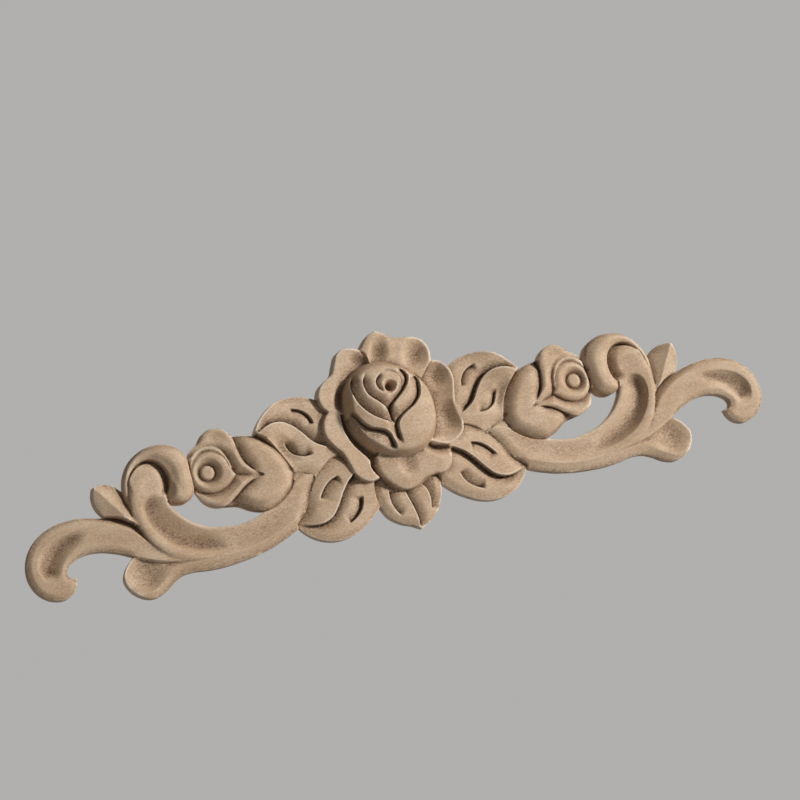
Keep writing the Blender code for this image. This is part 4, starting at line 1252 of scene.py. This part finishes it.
def pale_wood():
    """Close-grained pale wood, sanded and unfinished, darker and redder where the tool has cut steeply,
    partly as the tool's burn and partly as painted shade, with painted shade in hollows and painted
    highlights on edges.
    """
    material = bpy.data.materials.new("pale_wood")
    material.use_nodes = True
    tree = material.node_tree
    shader = tree.nodes["Principled BSDF"]
    place = tree.nodes.new("ShaderNodeTexCoord").outputs["Object"]
    along = stretched(tree, place, along=0.09)
    # Low places and the sides of cuts, where dust lies and shade is painted.
    dust_and_shade = maths(tree, "MAXIMUM", attribute(tree, "dust_and_shade"), attribute(tree, "sunk"))
    streaks = noise(tree, along, cells=1500, detail=3, roughness=0.6)
    bands = noise(tree, along, cells=160, detail=2, roughness=0.5)
    clouds = noise(tree, place, cells=45, detail=3, roughness=0.55)
    pores = stretched(tree, place, along=0.45)
    grit = noise(tree, pores, cells=1300, detail=4, roughness=0.85)
    dust = noise(tree, place, cells=420, detail=4, roughness=0.75)
    speck_room = maths(tree, "ADD", times(tree, dust_and_shade, SHADE_DUST_SPECKS), OPEN_SPECKS, True)
    # Each wash over the wood's own colour: how much of it shows where, and its colour. Grain and grit are
    # the wood's own; the others are painted shade in cuts, creases and low places, brown on steep sides that
    # is partly painted shade, and painted highlights on edges.
    washes = (
        (ramp(tree, bands, 0.35, 0.7, 0, 0.5), WARM),
        (ramp(tree, streaks, 0.45, 0.75, 0, 0.35), WARM),
        # Steep sides: brown that is partly tool burn and partly painted shade.
        (times(tree, attribute(tree, "steep"), 0.4), BURN_AND_SHADE_BROWN),
        # Dust and painted shade in low places and on the sides of cuts.
        (times(tree, dust_and_shade, 0.46), DUST_AND_SHADE_TONE),
        (times(tree, ramp(tree, grit, 0.36, 0.48, 1, 0), 0.3), PALE_GRIT_AND_HIGHLIGHT),
        # Dark grit, thicker where dust lies and shade is painted.
        (times(tree, ramp(tree, grit, 0.52, 0.57), speck_room), SPECK),
        # Painted shade in creases and pits.
        (times(tree, attribute(tree, "hollow"), 0.6), CREVICE_SHADE),
        # Painted shadow along the bottoms of cuts.
        (times(tree, attribute(tree, "line"), 0.95), CREVICE_SHADE),
        # Dark dust blotches, only where dust lies and shade is painted.
        (times(tree, ramp(tree, dust, 0.5, 0.7), times(tree, dust_and_shade, 0.35)), SPECK),
        # Painted highlights on sharp convex edges.
        (times(tree, attribute(tree, "edge"), 0.7), PALE_GRIT_AND_HIGHLIGHT),
    )
    colour = blend(tree, ramp(tree, clouds, 0.35, 0.65), BODY, PALE)
    for share, tone in washes:
        colour = blend(tree, share, colour, tone)
    feed(tree, shader.inputs["Base Color"], colour)
    feed(tree, shader.inputs["Roughness"], ramp(tree, streaks, 0.3, 0.7, SMOOTHEST, ROUGHEST))
    shader.inputs["Specular IOR Level"].default_value = SHINE
    texture = maths(tree, "ADD", times(tree, streaks, 0.5), times(tree, grit, 0.5))
    bump = add(tree, "ShaderNodeBump", Height=texture, Strength=0.6, Distance=GRAIN_DEPTH)
    feed(tree, shader.inputs["Normal"], bump.outputs["Normal"])
    return material


def carving():
    """The fine carving, which stands for the plain solid and is held inside its box."""
    points, triangles, (line, sunk) = solid_mesh()
    placed = np.column_stack([points[:, 0], -points[:, 2], points[:, 1]]) * MM
    placed = np.clip(placed, *cad_box)
    mesh = bpy.data.meshes.new(PIECE)
    mesh.from_pydata(placed.tolist(), [], triangles.tolist())
    mesh.materials.append(pale_wood())
    mesh.shade_smooth()
    mesh.set_sharp_from_angle(angle=SHARP_ANGLE)
    tones(mesh, line, sunk)
    piece = put(PIECE, mesh)
    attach(piece, "root")
    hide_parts(NODE)


# The studio


# The sky's strength before and behind the carving, and between which values of its direction it changes.
SKY = (0.95, 0.94, 0.92, 1)
FRONT_SKY = 0.08
BACK_SKY = 0.46
SKY_FROM = 0.1
SKY_TO = 0.75

KEY_WAY = (0.74, -0.66, 0.13)
KEY_DISTANCE = 2.6
LIGHTS_AIM = (0, 0, 0.01)
FLOOR_TONE = (0.72, 0.72, 0.71, 1)
FLOOR_ROUGHNESS = 0.9
FLOOR_DROP = 1.2
FLOOR_REACH = 8.0


def put(name, data):
    made = bpy.data.objects.new(name, data)
    bpy.context.scene.collection.objects.link(made)
    return made


def aimed(name, data, place, aim, roll=0):
    """A light or camera that looks from a place at its aim, rolled by so many degrees."""
    made = put(name, data)
    made.location = place
    made.rotation_mode = "QUATERNION"
    level = (Vector(aim) - Vector(place)).to_track_quat("-Z", "Y")
    made.rotation_quaternion = level @ Quaternion((0, 0, 1), math.radians(roll))
    return made


def floor():
    mesh = bpy.data.meshes.new("floor")
    ways = ((-1, -1), (1, -1), (1, 1), (-1, 1))
    corners = [(x * FLOOR_REACH, y * FLOOR_REACH, -FLOOR_DROP) for x, y in ways]
    mesh.from_pydata(corners, [], [(0, 1, 2, 3)])
    material = bpy.data.materials.new("pale_floor")
    material.use_nodes = True
    shader = material.node_tree.nodes["Principled BSDF"]
    shader.inputs["Base Color"].default_value = FLOOR_TONE
    shader.inputs["Roughness"].default_value = FLOOR_ROUGHNESS
    mesh.materials.append(material)
    made = put("floor", mesh)


def area_light(name, place, size, power, colour, cone):
    """A round light aimed at the carving, that shines within a cone of so many degrees."""
    data = bpy.data.lights.new(name, "AREA")
    data.shape = "DISK"
    data.size = size
    data.energy = power
    data.color = colour
    data.spread = math.radians(cone)
    aimed(name, data, place, LIGHTS_AIM).visible_camera = False


def studio():
    """A raking key from the right, a weak fill, a light on the back, and a sky that is paler behind."""
    world = bpy.data.worlds.new("studio")
    world.use_nodes = True
    tree = world.node_tree
    sky = tree.nodes["Background"]
    direction = tree.nodes.new("ShaderNodeTexCoord").outputs["Generated"]
    apart = add(tree, "ShaderNodeSeparateXYZ", Vector=direction)
    strength = ramp(tree, apart.outputs["Y"], SKY_FROM, SKY_TO, FRONT_SKY, BACK_SKY)
    feed(tree, sky.inputs["Strength"], strength)
    sky.inputs["Color"].default_value = SKY
    bpy.context.scene.world = world
    bpy.context.scene.view_settings.view_transform = "Standard"
    key = Vector(KEY_WAY).normalized() * KEY_DISTANCE
    area_light("key", key, size=0.45, power=3.45, colour=(1.0, 0.955, 0.90), cone=40)
    area_light("back", (0.9, 2.3, 1.5), size=1.4, power=34, colour=(1.0, 0.96, 0.92), cone=150)
    area_light("fill", (-1.2, -2.0, 0.3), size=1.2, power=2, colour=(1.0, 0.95, 0.9), cone=120)


def camera():
    data = bpy.data.cameras.new("camera")
    data.lens = CAMERA_LENS
    bpy.context.scene.camera = aimed("camera", data, CAMERA_PLACE, CAMERA_AIM, CAMERA_ROLL)


carving()
floor()
studio()
camera()
